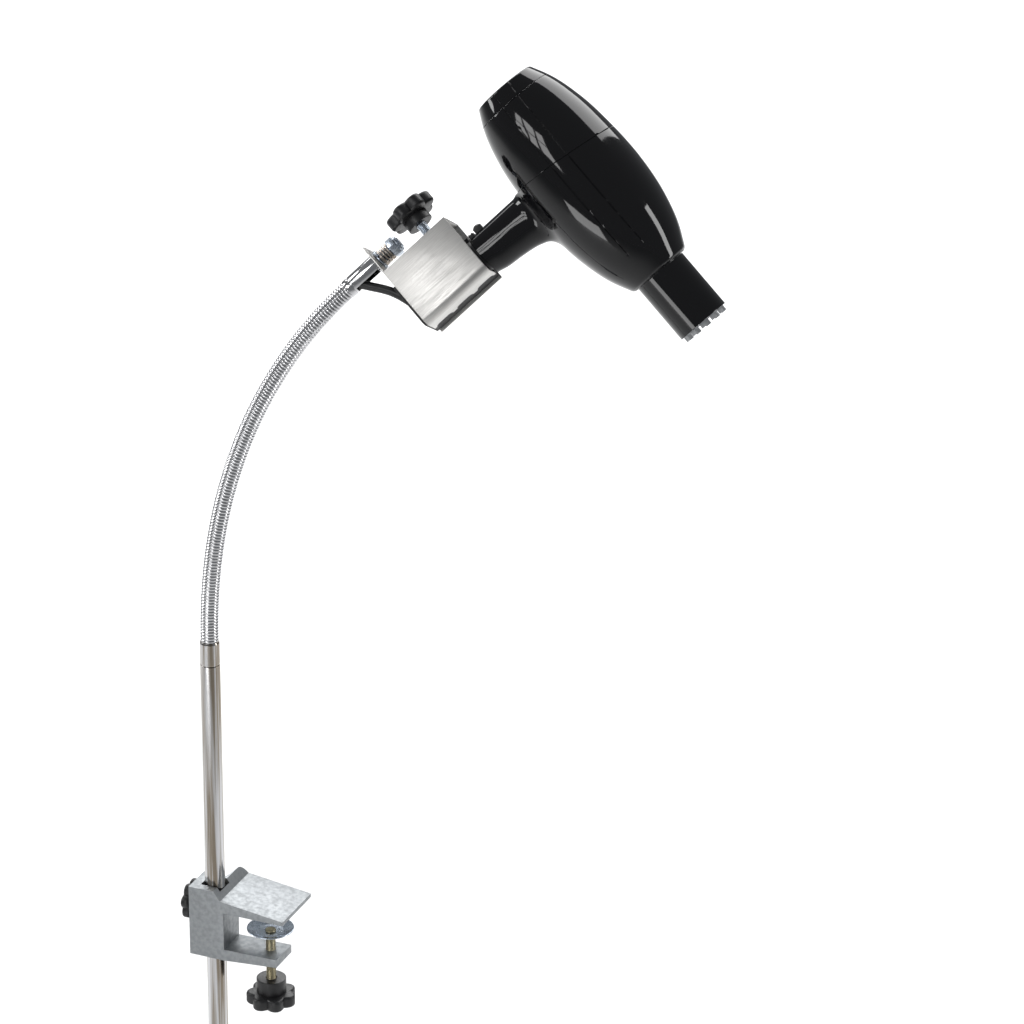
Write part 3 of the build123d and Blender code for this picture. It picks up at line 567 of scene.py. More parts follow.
# ---- repeated pieces --------------------------------------------------------------------------
def threaded_rod(name, radius, low, high, place, finish_name):
    """A bar along Z with a helical thread and narrowed end faces."""
    s = sizes()
    count = max(8, round((high - low) / (s.thread_pitch / 7)))
    step = (high - low) / count
    side = [(radius, low + step * k) for k in range(count + 1)]
    outline = [(0, low)] + [(radius * 0.8, low)] + side + [(radius * 0.8, high), (0, high)]
    rod = to_object(spun(outline, 40), name)
    return grown(rod, SHOP["thread tree"], place, 60, Pitch=s.thread_pitch, Depth=s.thread_depth,
                 Material=SHOP[finish_name])


def star_knob(name, hub, star, place, radius=None, hub_radius=0.012, dish=0.0016):
    """A star knob below z = 0: a stepped hub, then the lobed star with round edges."""
    s = sizes()
    outer = radius or s.knob_radius
    columns = 24 * s.knob_lobes
    edge = min(0.0022, star * 0.3)
    rows = [(0.0, -hub + 0.0002, 0), (0.62, -hub + 0.0002, 0)]
    turns = [math.pi / 2 * k / 5 for k in range(6)]
    rows += [(1.0, -hub - edge * (1 - math.cos(a)), edge * (1 - math.sin(a))) for a in turns]
    rows += [(1.0, -hub - star + edge * (1 - math.sin(a)), edge * (1 - math.cos(a))) for a in turns]
    rows += [(0.60, -hub - star, 0), (0.5, -hub - star + dish * 0.7, 0), (0.0, -hub - star + dish, 0)]
    bm = bmesh.new()
    rings = []
    for share, z, inset in rows:
        if share == 0.0:
            rings.append([bm.verts.new((0, 0, z))])
            continue
        ring = []
        for k in range(columns):
            angle = 2 * math.pi * k / columns
            wave = 0.5 + 0.5 * math.cos(s.knob_lobes * angle)
            reach = outer * (0.80 + 0.20 * wave ** 0.55) - inset
            reach = reach if share == 1.0 else share * outer
            ring.append(bm.verts.new((reach * math.cos(angle), reach * math.sin(angle), z)))
        rings.append(ring)
    for low, high in zip(rings, rings[1:]):
        for k in range(columns):
            n = (k + 1) % columns
            face = list(dict.fromkeys([low[k % len(low)], low[n % len(low)], high[n % len(high)],
                                       high[k % len(high)]]))
            if len(face) > 2:
                bm.faces.new(face)
    knob = to_object(bm, name, place, 50)
    if hub < 0.003:
        return knob
    h, r = hub / MM, hub_radius / MM
    outline = rounded(((0, -h - 1), (r, -h - 1), (r, -0.2), (r - 0.8, 0), (4.2, 0),
                       (4.2, -1.5), (0, -1.5)), 0.7)
    return merged(name, knob, to_object(spun(outline, 64), name + "_hub", place, 40))


# ---- clamp ---------------------------------------------------------------------------------
class PETDRYER_OT_clamp(bpy.types.Operator):
    """Cast clamp with its screw, pad and knobs"""

    bl_idname = "pet_dryer.clamp"
    bl_label = "Clamp"

    def execute(self, context):
        s = sizes()
        body = copied("clamp_frame", "cast_clamp", 0.0009, 4, 25)
        dress(body, SHOP["cast"], "clamp", "clamp_frame")
        pad = rounded(((3.4, -17.2), (9.2, -17.2), (18.2, -13.9), (19.0, -13.5), (19.0, -12.9), (18.4, -12.6),
                       (10.4, -15.9), (3.4, -15.9)), 0.5, closed=True)
        pad = to_object(spun(pad, 96, True), "clamp_cup", None, 50)
        dress(pad, SHOP["blue"], "clamp_pad", "clamp_pad")
        screw = threaded_rod("clamp_spindle", s.screw_radius, -0.0745, -0.0177, None, "yellow")
        peen = rounded(((0, -17.9), (3.0, -17.9), (3.0, -15.7), (4.6, -15.6), (4.2, -14.5), (2.2, -14.2),
                        (0, -14.4)), 0.4)
        peen = to_object(spun(peen, 48), "peen")
        spindle = merged("clamp_spindle", screw, peen)
        dress(spindle, SHOP["yellow"], "clamp_screw", "clamp_screw")
        knob = star_knob("clamp_star_knob", 0.0125, 0.010, Matrix.Translation((0, 0, -0.0585)))
        dress(knob, SHOP["satin"], "clamp_screw", "clamp_knob")
        side = star_knob("pole_star_knob", 0.0006, 0.007, SET_SCREW @ Matrix.Translation((0, 0, -0.0005)),
                         0.0165)
        dress(side, SHOP["satin"], "pole_screw", "pole_screw_knob")
        point = threaded_rod("pole_set_screw", 0.0030, -0.0049, 0.0051, SET_SCREW, "yellow")
        dress(point, SHOP["yellow"], "pole_screw", "pole_screw")
        tip = rounded(((0, 5.2), (2.4, 5.2), (2.4, 7.6), (0, 7.6)), 0.4)
        tip = to_object(spun(tip, 32), "brass_tip", SET_SCREW)
        dress(tip, SHOP["brass"], "pole_screw_tip", "pole_screw_tip")
        return {"FINISHED"}


# ---- pole ----------------------------------------------------------------------------------
class PETDRYER_OT_pole(bpy.types.Operator):
    """Pole, the neck's collar and the rubber bush at the lower end"""

    bl_idname = "pet_dryer.pole"
    bl_label = "Pole"

    def execute(self, context):
        tube = rounded(((6, -157), (8, -157), (8, 212), (6, 212)), 0.5, closed=True)
        tube = to_object(spun(tube, 96, True), "pole", POLE)
        dress(tube, SHOP["pole"], "pole", "pole_tube")
        collar = rounded(((4, 196), (5.95, 196), (5.95, 212), (7.2, 212), (7.7, 212.5), (7.95, 213.4),
                          (7.95, 230.6), (7.4, 232.3), (6.9, 232.3), (6.6, 226), (4, 224)), 0.35, closed=True)
        collar = to_object(spun(collar, 96, True), "neck_collar_ring", POLE)
        dress(collar, SHOP["pole"], "pole", "neck_collar")
        bush = [(0, -142), (5.94, -142), (5.94, -157.3), (8, -157.3), (8, -161.3), (6.2, -161.4)]
        for k in range(7):
            z = -164 - k * 4.3
            r = 6.1 - 0.26 * k
            bush += [(r, z), (r, z - 2.4), (r - 0.9, z - 2.6), (r - 0.9, z - 4.1)]
        bush += [(4.3, -194.2), (4.2, -195), (0, -195)]
        bush = to_object(spun(rounded(bush, 0.25, 2), 64), "pole_bush", POLE)
        dress(bush, SHOP["rubber"], "pole_foot", "pole_end_bush")
        return {"FINISHED"}


# ---- neck ----------------------------------------------------------------------------------
STEPS_PER_LENGTH = 32    # points on the centre line from one joint to the next


def neck_line():
    """Fine points along the neck's centre line, and the joints' places on it."""
    joints = sorted((j for j in JOINTS.values() if j["name"].startswith("neck_")),
                    key=lambda j: j["pos_m"][2])
    marks = [Vector(j["pos_m"]) for j in joints] + [HOLDER.translation.copy()]
    count = len(marks)
    tangents = [Vector((0, 0, 1))]
    for i in range(1, count - 1):
        tangents.append((marks[i + 1] - marks[i - 1]).normalized())
    tangents.append(HOLDER.to_3x3().col[0].copy())
    points = [marks[0] - tangents[0] * 0.005]
    stops = []
    for i in range(count - 1):
        reach = (marks[i + 1] - marks[i]).length
        stops.append(len(points))
        for k in range(STEPS_PER_LENGTH):
            t = k / STEPS_PER_LENGTH
            h = (2 * t ** 3 - 3 * t ** 2 + 1, t ** 3 - 2 * t ** 2 + t,
                 -2 * t ** 3 + 3 * t ** 2, t ** 3 - t ** 2)
            points.append(marks[i] * h[0] + tangents[i] * reach * h[1] + marks[i + 1] * h[2]
                          + tangents[i + 1] * reach * h[3])
    points.append(marks[-1])
    return points, stops, joints


class PETDRYER_OT_neck(bpy.types.Operator):
    """Ringed metal hose along a smooth line through the neck's joints, in one length for each joint"""

    bl_idname = "pet_dryer.neck"
    bl_label = "Neck"

    def execute(self, context):
        s = sizes()
        points, stops, joints = neck_line()
        runs = [0.0]
        for a, b in zip(points, points[1:]):
            runs.append(runs[-1] + (b - a).length)
        cuts = [0] + [stop + STEPS_PER_LENGTH // 2 for stop in stops[:-1]] + [len(points) - 1]
        for i, joint in enumerate(joints):
            part = points[cuts[i]:cuts[i + 1] + 1]
            curve = bpy.data.curves.new(f"hose_{i + 1:02d}", "CURVE")
            curve.dimensions = "3D"
            spline = curve.splines.new("POLY")
            spline.points.add(len(part) - 1)
            for slot, point in zip(spline.points, part):
                slot.co = (*point, 1)
            piece = bpy.data.objects.new(f"hose_{i + 1:02d}", curve)
            context.scene.collection.objects.link(piece)
            piece = grown(piece, SHOP["hose tree"], None, 50, Radius=s.hose_radius, Pitch=s.ring_pitch,
                          Depth=s.ring_depth, Start=runs[cuts[i]], Material=SHOP["hose"])
            dress(piece, SHOP["hose"], None, f"neck_link_{i + 1:02d}")
            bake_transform(piece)
        return {"FINISHED"}


# ---- swivel at the neck's end ------------------------------------------------------------------
class PETDRYER_OT_swivel(bpy.types.Operator):
    """Ferrule, pivot stud, washer, spring and nut at the neck's end"""

    bl_idname = "pet_dryer.swivel"
    bl_label = "Swivel"

    def execute(self, context):
        ferrule = copied("end_ferrule", "cord_ferrule", 0.0005, 3, 25)
        dress(ferrule, SHOP["chrome"], "neck_end", "end_ferrule")
        stud = threaded_rod("pivot_stud", 0.0047, 0.0335, 0.0538, NECK_AXIS, "blue")
        dress(stud, SHOP["blue"], "neck_end", "pivot_stem")
        washer = rounded(((4.8, 33.0), (8.2, 33.0), (8.2, 34.5), (4.8, 34.5)), 0.4, closed=True)
        washer = to_object(spun(washer, 64, True), "swivel_washer", NECK_AXIS)
        dress(washer, SHOP["blue"], "neck_end", "friction_washer")
        dress(self.spring(context), SHOP["spring"], "neck_end", "pivot_spring")
        nut = copied("pivot_nut", "lock_nut", 0.0006, 3, 25)
        dress(nut, SHOP["blue"], "neck_end", "pivot_nut")
        return {"FINISHED"}

    WIRE_RADIUS = 0.00085
    COIL_RADIUS = 0.00625
    COILS = 4.6
    STEPS = 220

    def spring(self, context):
        """Closed-end compression spring as one helix of wire."""
        curve = bpy.data.curves.new("swivel_spring", "CURVE")
        curve.dimensions = "3D"
        curve.bevel_depth = self.WIRE_RADIUS
        curve.bevel_resolution = 5
        curve.use_fill_caps = True
        spline = curve.splines.new("POLY")
        spline.points.add(self.STEPS)
        for k in range(self.STEPS + 1):
            t = k / self.STEPS
            lift = min(max((t - 0.16) / 0.68, 0), 1)
            rise = 0.0357 + 0.00030 * t + 0.0075 * lift
            angle = 2 * math.pi * self.COILS * t
            x, y = self.COIL_RADIUS * math.cos(angle), self.COIL_RADIUS * math.sin(angle)
            spline.points[k].co = (*(NECK_AXIS @ Vector((x, y, rise))), 1)
        piece = bpy.data.objects.new("swivel_spring", curve)
        context.scene.collection.objects.link(piece)
        mesh = bpy.data.meshes.new_from_object(piece)
        bpy.data.objects.remove(piece)
        return link(mesh, "swivel_spring", 60)


# ---- holder --------------------------------------------------------------------------------
class PETDRYER_OT_holder(bpy.types.Operator):
    """Sheet-metal holder with its lining, pad, screw and knob"""

    bl_idname = "pet_dryer.holder"
    bl_label = "Holder"

    def execute(self, context):
        s = sizes()
        bracket = copied("holder_bracket", "holder_back", 0.00045, 3, 30)
        dress(bracket, SHOP["sheet"], "holder", "holder_bracket")
        cover = copied("holder_cover", "holder_front", 0.00035, 3, 40)
        dress(cover, SHOP["sheet"], "holder", "holder_cover")
        liner = copied("holder_liner", "holder_lining", 0.0005, 3, 40)
        dress(liner, SHOP["rubber"], "holder", "holder_liner")
        nut = copied("holder_weld_nut", "weld_nut", 0.0005, 2, 25)
        dress(nut, SHOP["blue"], "holder", "holder_weld_nut")
        pad = rounded(((0, 34.0), (7.2, 34.0), (8.0, 34.8), (8.0, 37.5), (0, 37.5)), 0.6)
        pad = to_object(spun(pad, 64), "handle_pad", HOLDER_SCREW)
        dress(pad, SHOP["blue"], "holder_pad", "holder_pad")
        screw = threaded_rod("holder_spindle", s.screw_radius, -0.0135, 0.0339, HOLDER_SCREW, "blue")
        dress(screw, SHOP["blue"], "holder_screw", "holder_screw")
        knob = star_knob("holder_star_knob", 0.008, 0.010, HOLDER_SCREW @ Matrix.Translation((0, 0, 0.0015)),
                         hub_radius=0.0105)
        dress(knob, SHOP["satin"], "holder_screw", "holder_knob")
        return {"FINISHED"}


# ---- dryer barrel and grip ------------------------------------------------------------------------
BARREL_OUTLINE = (       # (along the barrel, radius) in metres from the handle's axis
    (-0.0835, 0.0252), (-0.0699, 0.0320), (-0.0415, 0.0402), (-0.0115, 0.0438),
    (0.0215, 0.0446), (0.0565, 0.0404), (0.0795, 0.0338), (0.0975, 0.0252),
)
GRIP_SECTIONS = (        # (down the handle, width along the barrel, width across) in metres
    (0.016, 0.064, 0.038), (0.030, 0.056, 0.0345), (0.043, 0.0455, 0.031), (0.056, 0.0395, 0.0295),
    (0.072, 0.0365, 0.029), (0.086, 0.0350, 0.028), (0.0945, 0.0330, 0.027), (0.104, 0.0330, 0.027),
)
GRIP_REAR = -0.017
GRIP_END = 0.094
SEAM_X = -0.0122
SEAM_TILT = math.radians(6.0)
CAP_SEAM = -0.0699
GRILLE_RINGS = (3.0, 7.0, 11.0, 15.0, 19.0, 22.6)    # radii in millimetres
GRILLE_SPOKES = 8


def smooth_through(knots, at):
    """Values of a smooth curve through (place, value) knots."""
    x = np.array([k[0] for k in knots])
    y = np.array([k[1] for k in knots])
    slope = np.gradient(y, x)
    i = np.clip(np.searchsorted(x, at) - 1, 0, len(x) - 2)
    h = x[i + 1] - x[i]
    t = np.clip((at - x[i]) / h, 0, 1)
    return ((2 * t ** 3 - 3 * t ** 2 + 1) * y[i] + (t ** 3 - 2 * t ** 2 + t) * h * slope[i]
            + (-2 * t ** 3 + 3 * t ** 2) * y[i + 1] + (t ** 3 - t ** 2) * h * slope[i + 1])


def shell_distance(points, to_handle):
    """Rough distance of points in the dryer's frame from the barrel and grip, blended at their joint."""
    x, y, z = points.T
    barrel = np.sqrt(y ** 2 + z ** 2) - smooth_through(BARREL_OUTLINE, x)
    own = points @ np.array(to_handle).T
    down = own[:, 2]
    wide = smooth_through([(g[0], g[1]) for g in GRIP_SECTIONS], down) / 2
    across = smooth_through([(g[0], g[2]) for g in GRIP_SECTIONS], down) / 2
    middle = GRIP_REAR + wide
    grip = (np.sqrt(((own[:, 0] - middle) / wide) ** 2 + (own[:, 1] / across) ** 2) - 1) * across
    grip = np.maximum(grip, 0.010 - down)
    reach = 0.007
    share = np.clip(0.5 + 0.5 * (grip - barrel) / reach, 0, 1)
    return grip * (1 - share) + barrel * share - reach * share * (1 - share)


def settled(mesh, to_handle):
    """Moves the mesh's points on to the blended surface of barrel and grip."""
    co = np.zeros(len(mesh.vertices) * 3)
    mesh.vertices.foreach_get("co", co)
    co = co.reshape(-1, 3)
    step = 2e-5
    for _ in range(8):
        value = shell_distance(co, to_handle)
        slope = np.stack([
            (shell_distance(co + np.eye(3)[k] * step, to_handle)
             - shell_distance(co - np.eye(3)[k] * step, to_handle)) / (2 * step) for k in range(3)], 1)
        ends = (co[:, 0] < BARREL_OUTLINE[0][0] + 0.002) | (co[:, 0] > BARREL_OUTLINE[-1][0] - 0.0015)
        move = value / np.maximum((slope ** 2).sum(1), 0.2)
        move[ends] = 0
        co -= np.clip(move, -0.002, 0.002)[:, None] * slope
    mesh.vertices.foreach_set("co", co.ravel())
    mesh.update()


def grooved(bm, centre_z=0.0075, half=0.00042, depth=0.0004, last=0.0745):
    """Two fine grooves along each side of the barrel, pressed into the outer surface."""
    for side in (-1, 1):
        for offset in (-half, 0.0, half):
            bmesh.ops.bisect_plane(bm, geom=bm.verts[:] + bm.edges[:] + bm.faces[:], dist=1e-6,
                                   plane_co=Vector((0, 0, side * centre_z + offset)),
                                   plane_no=Vector((0, 0, 1)))
    for vert in bm.verts:
        x, y, z = vert.co
        radius = math.hypot(y, z)
        outer = float(smooth_through(BARREL_OUTLINE, np.array([x]))[0])
        if abs(abs(z) - centre_z) < 2e-6 and radius > outer - 0.0009 and x < last:
            vert.co = Vector((x, y * (1 - depth / radius), z))


def cut(bm, point, normal):
    """Removes what lies on the normal's side of a plane."""
    bmesh.ops.bisect_plane(bm, geom=bm.verts[:] + bm.edges[:] + bm.faces[:], plane_co=point,
                           plane_no=normal, clear_outer=True)


class PETDRYER_OT_housing(bpy.types.Operator):
    """Barrel, grip, rear cap and outlet of the dryer"""

    bl_idname = "pet_dryer.housing"
    bl_label = "Housing"

    def execute(self, context):
        self.front_shells()
        self.rear_shell()
        self.cap()
        self.outlet()
        return {"FINISHED"}

    def front_shells(self):
        """Barrel front and grip as one blended surface, parted down the middle."""
        to_handle = (HANDLE.inverted() @ DRYER).to_3x3()
        spots = np.linspace(BARREL_OUTLINE[0][0], BARREL_OUTLINE[-1][0], 60)
        radii = smooth_through(BARREL_OUTLINE, spots)
        ends = [(0, spots[0])] + list(zip(radii, spots)) + [(0, spots[-1])]
        barrel = to_object(spun(ends, 96), "barrel_core", DRYER.inverted() @ BARREL)
        bm = bmesh.new()
        rings = []
        for down in np.linspace(0.012, 0.102, 24):
            wide = smooth_through([(g[0], g[1]) for g in GRIP_SECTIONS], down) / 2
            across = smooth_through([(g[0], g[2]) for g in GRIP_SECTIONS], down) / 2
            ring = []
            for k in range(64):
                a = 2 * math.pi * k / 64
                ring.append(bm.verts.new((GRIP_REAR + wide + wide * math.cos(a), across * math.sin(a), down)))
            rings.append(ring)
        for low, high in zip(rings, rings[1:]):
            for k in range(64):
                n = (k + 1) % 64
                bm.faces.new((low[k], low[n], high[n], high[k]))
        bm.faces.new(rings[0])
        bm.faces.new(rings[-1])
        grip = to_object(bm, "grip_core", DRYER.inverted() @ HANDLE)
        core = merged("front_core", barrel, grip)
        remesh = core.modifiers.new("Skin", "REMESH")
        remesh.mode = "VOXEL"
        remesh.voxel_size = 0.0016
        applied(core)
        relax = core.modifiers.new("Even", "SMOOTH")
        relax.factor = 0.5
        relax.iterations = 6
        applied(core)
        settled(core.data, to_handle)
        tilt = Vector((math.cos(SEAM_TILT), 0, -math.sin(SEAM_TILT)))
        gap = sizes().seam_gap
        handle_end = DRYER.inverted() @ HANDLE @ Vector((0, 0, GRIP_END))
        down = (DRYER.inverted() @ HANDLE).to_3x3() @ Vector((0, 0, 1))
        for side, name, node in ((-1, "shell_left", "housing_left"), (1, "shell_right", "housing_right")):
            bm = bmesh.new()
            bm.from_mesh(core.data)
            cut(bm, Vector((SEAM_X, 0, 0)) + tilt * gap, -tilt)
            cut(bm, handle_end, down)
            cut(bm, Vector((BARREL_OUTLINE[-1][0] - 0.0006, 0, 0)), Vector((1, 0, 0)))
            cut(bm, Vector((0, side * gap / 4, 0)), Vector((0, -side, 0)))
            bmesh.ops.remove_doubles(bm, verts=bm.verts, dist=5e-5)
            grooved(bm)
            mesh = bpy.data.meshes.new(name)
            bm.to_mesh(mesh)
            bm.free()
            piece = link(mesh, name)
            thick = piece.modifiers.new("Wall", "SOLIDIFY")
            thick.thickness = sizes().wall
            thick.offset = -1
            thick.use_even_offset = False
            applied(piece)
            piece.data.transform(DRYER)
            for polygon in piece.data.polygons:
                polygon.use_smooth = True
            piece.data.set_sharp_from_angle(angle=math.radians(40))
            dress(piece, SHOP["gloss"], "dryer", node)
        mesh = core.data
        bpy.data.objects.remove(core)
        bpy.data.meshes.remove(mesh)

    def rear_shell(self):
        """Rear housing from the cap's seam to the tilted seam."""
        wall = sizes().wall
        gap = sizes().seam_gap
        spots = np.linspace(CAP_SEAM + gap, 0.000, 48)
        radii = smooth_through(BARREL_OUTLINE, spots)
        outside = list(zip(radii, spots))
        inside = [(r - wall, x) for r, x in reversed(outside)]
        bm = spun(outside + inside, 160, True)
        bmesh.ops.transform(bm, matrix=DRYER.inverted() @ BARREL, verts=bm.verts)
        tilt = Vector((math.cos(SEAM_TILT), 0, -math.sin(SEAM_TILT)))
        bmesh.ops.bisect_plane(bm, geom=bm.verts[:] + bm.edges[:] + bm.faces[:],
                               plane_co=Vector((SEAM_X, 0, 0)) - tilt * gap, plane_no=tilt, clear_outer=True)
        edges = [e for e in bm.edges if e.is_boundary]
        bmesh.ops.bridge_loops(bm, edges=edges)
        grooved(bm)
        shell = to_object(bm, "shell_rear", DRYER)
        bevelled(shell, 0.0003, 3, 50)
        dress(shell, SHOP["gloss"], "dryer", "rear_housing")

    def cap(self):
        """Rear cap with a grille of rings and spokes over a filter."""
        wall = sizes().wall
        start = BARREL_OUTLINE[0][0]
        spots = np.linspace(start + 0.0014, CAP_SEAM - sizes().seam_gap, 14)
        radii = smooth_through(BARREL_OUTLINE, spots)
        outside = [(radii[0] - 0.0026, start), (radii[0] - 0.0011, start + 0.0003),
                   (radii[0] - 0.0003, start + 0.0008)] + list(zip(radii, spots))
        inside = [(r - wall, x) for r, x in reversed(outside[3:])] + [(radii[0] - 0.0026, start + 0.0022)]
        bm = spun(outside + inside, 160, True)
        bmesh.ops.transform(bm, matrix=DRYER.inverted() @ BARREL, verts=bm.verts)
        grooved(bm)
        shell = to_object(bm, "cap_shell", DRYER)
        bevelled(shell, 0.0003, 3, 50)
        rings = []
        for r in GRILLE_RINGS:
            ring = rounded(((r - 0.9, start / MM + 0.2), (r + 0.9, start / MM + 0.2),
                            (r + 0.9, start / MM + 2.2), (r - 0.9, start / MM + 2.2)), 0.4, closed=True)
            rings.append(to_object(spun(ring, 96, True), "cap_ring", BARREL))
        spoke = block((0.002, 0.0235), (-0.0009, 0.0009), (start + 0.0005, start + 0.0021))
        spoke = to_object(spoke, "cap_spoke")
        spokes = grown(spoke, SHOP["around tree"], BARREL, 40, Count=GRILLE_SPOKES,
                       Material=SHOP["gloss"])
        cap = merged("rear_inlet_cap", shell, spokes, *rings)
        dress(cap, SHOP["gloss"], "rear_cap", "rear_cap")
        frame["nodes"]["inlet_filter"].data.materials.clear()
        frame["nodes"]["inlet_filter"].data.materials.append(SHOP["satin"])

    def outlet(self):
        """Outlet tube and its grey castellated ring."""
        tube = rounded(((19.3, 87.5), (21.2, 87.5), (21.2, 88.2), (26.0, 88.2), (26.0, 89.5), (21.5, 89.5),
                        (21.5, 94.0), (23.6, 94.0), (23.9, 97.3), (21.5, 97.9), (21.5, 147.5),
                        (19.3, 147.5)), 0.4, closed=True)
        tube = to_object(spun(tube, 128, True), "outlet_tube", BARREL)
        dress(tube, SHOP["gloss"], "dryer", "spigot_tube")
        crown = copied("outlet_crown", "outlet_teeth", 0.0003, 3, 30)
        dress(crown, SHOP["crown"], "dryer", "outlet_crown")


# ---- grip details --------------------------------------------------------------------------------
class PETDRYER_OT_grip(bpy.types.Operator):
    """Button, rocker, collar, cord relief and screw on the dryer's handle"""

    bl_idname = "pet_dryer.grip"
    bl_label = "Grip"

    def execute(self, context):
        button = copied("cool_button", "cool_air_button", 0.0005, 3, 30)
        dress(button, SHOP["satin"], "cool_button", "cool_button")
        rocker = copied("rocker_switch", "speed_switch", 0.0003, 3, 30)
        dress(rocker, SHOP["satin"], "speed_rocker", "rocker_switch")
        collar = copied("handle_collar", "grip_collar", 0.0006, 3, 30)
        dress(collar, SHOP["satin"], "dryer", "handle_collar")
        outline = [(0, 126.1), (6.6, 126.1), (6.6, 128.5)]
        for k in range(5):
            z = 129 + k * 3.2
            r = 6.3 - 0.36 * k
            outline += [(r, z), (r, z + 2.0), (r - 0.8, z + 2.1), (r - 0.8, z + 3.1)]
        outline += [(4.5, 145.2), (4.4, 146.0), (0, 146.0)]
        relief = to_object(spun(rounded(outline, 0.25, 2), 64), "handle_cord_relief", HANDLE)
        dress(relief, SHOP["rubber"], "dryer", "cord_relief")
        screw = copied("housing_screw", "grip_screw", 0.0002, 2, 30)
        dress(screw, SHOP["plated"], "dryer", "housing_screw")
        return {"FINISHED"}


class PETDRYER_OT_inside(bpy.types.Operator):
    """Finishes of the parts inside the dryer"""

    bl_idname = "pet_dryer.inside"
    bl_label = "Inside"

    def execute(self, context):
        chosen = {
            "heat_tube": "mica", "heater_former": "mica", "heater_coil": "wire", "thermal_cutout": "plated",
            "motor_mount": "satin", "motor_case": "plated", "fan_rotor": "satin", "switch_block": "satin",
            "lead_wires": "lead",
        }
        for node, name in chosen.items():
            mesh = frame["nodes"][node].data
            mesh.materials.clear()
            mesh.materials.append(SHOP[name])
        return {"FINISHED"}


# ---- cords ------------------------------------------------------------------------------------------
def route_curve(name, points, bevel):
    """A smooth open NURBS curve with the route's points as its control points."""
    curve = bpy.data.curves.new(name, "CURVE")
    curve.dimensions = "3D"
    curve.resolution_u = 12
    curve.bevel_depth = bevel
    curve.bevel_resolution = 6
    curve.use_fill_caps = bevel > 0
    spline = curve.splines.new("NURBS")
    spline.points.add(len(points) - 1)
    for place, point in zip(spline.points, points):
        place.co = (*point, 1)
    spline.order_u = 3
    spline.use_endpoint_u = True
    piece = bpy.data.objects.new(name, curve)
    bpy.context.scene.collection.objects.link(piece)
    return piece


def coil_points():
    """Turns of the spare cord round the coil, each moving one place on in a packed bundle."""
    gap = CORD_SPACING
    up = gap * math.sin(math.radians(60))
    spots = [(gap / 2, -up), (gap, 0), (0, 0), (-gap / 2, -up), (-gap, 0), (-gap / 2, up), (gap / 2, up)]
    points = []
    for k in range(1, COIL_TURNS * POINTS_PER_TURN):
        turned = 360 * k / POINTS_PER_TURN
        place = max(0.0, (turned - FIRST_SHIFT) / SHIFT_EVERY)
        low = min(int(place), COIL_TURNS - 1)
        share = min(1.0, max(0.0, (place - low) * SHIFT_EVERY / SHIFT_LONG)) if turned > FIRST_SHIFT else 0.0
        a, b = spots[low], spots[low + 1]
        if turned > FIRST_SHIFT + SHIFT_EVERY * (COIL_TURNS - 1) + SHIFT_LONG:
            share = 1.0
        out = a[0] * (1 - share) + b[0] * share
        side = a[1] * (1 - share) + b[1] * share
        angle = -math.radians(turned)
        reach = COIL_RADIUS + out
        points.append((COIL_CENTRE[0] + reach * math.cos(angle), side,
                       COIL_CENTRE[2] + reach * math.sin(angle)))
    return points


class PETDRYER_OT_cords(bpy.types.Operator):
    """Cord loop at the holder, and the supply cord with its tie and plug"""

    bl_idname = "pet_dryer.cords"
    bl_label = "Cords"

    def execute(self, context):
        radius = sizes().cord_diameter / 2
        loop = [HOLDER @ Vector(p) for p in LOOP_ROUTE]
        line = route_curve("loop_line", loop, 0.0)
        path = [tuple(v.co) for v in bpy.data.meshes.new_from_object(line).vertices]
        bpy.data.objects.remove(line)
        tube = route_curve("dryer_cord_loop", loop, radius)
        mesh = bpy.data.meshes.new_from_object(tube)
        bpy.data.objects.remove(tube)
        piece = link(mesh, "dryer_cord_loop", 60)
        dress(piece, SHOP["cord"], None, "dryer_cord")
        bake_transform(piece)
        points = list(LEAD_ROUTE) + coil_points() + list(TAIL_ROUTE)
        supply = route_curve("supply_cord", points, radius)
        supply.data.materials.append(SHOP["cord"])
        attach(supply, "pole_foot")
        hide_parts("supply_lead", "supply_coil", "supply_tail")
        tie = copied("cord_tie", "coil_tie", 0.0005, 3, 30)
        dress(tie, SHOP["rubber"], "pole_foot", "cord_tie")
        plug = copied("plug_body", "mains_plug", 0.0012, 4, 30)
        dress(plug, SHOP["satin"], "pole_foot", "plug_body")
        blades = copied("plug_pins", "plug_blades", 0.0003, 3, 30)
        dress(blades, SHOP["nickel"], "pole_foot", "plug_pins")
        return {"FINISHED"}


# ---- stage --------------------------------------------------------------------------------------------
MIDDLE = (0.10, 0.05, 0.45)
PANE_POWER = 2.7
SKY_LIGHT = 0.20         # the sky's strength on the object
SKY_SEEN = 0.85          # and as the camera sees it
SOFT_LIGHTS = (          # name, place, what it points at, width, height, watts
    ("floor_light", (-0.7, 2.6, 1.9), (-0.7, 2.6, -0.4), 3.6, 3.6, 150),
    ("left", (-2.6, -0.6, 1.5), MIDDLE, 0.8, 1.6, 30),
    ("right", (2.3, 0.5, 0.9), MIDDLE, 0.4, 1.6, 14),
    ("low_front", (-0.2, -2.2, -0.2), MIDDLE, 1.0, 0.5, 7),
)


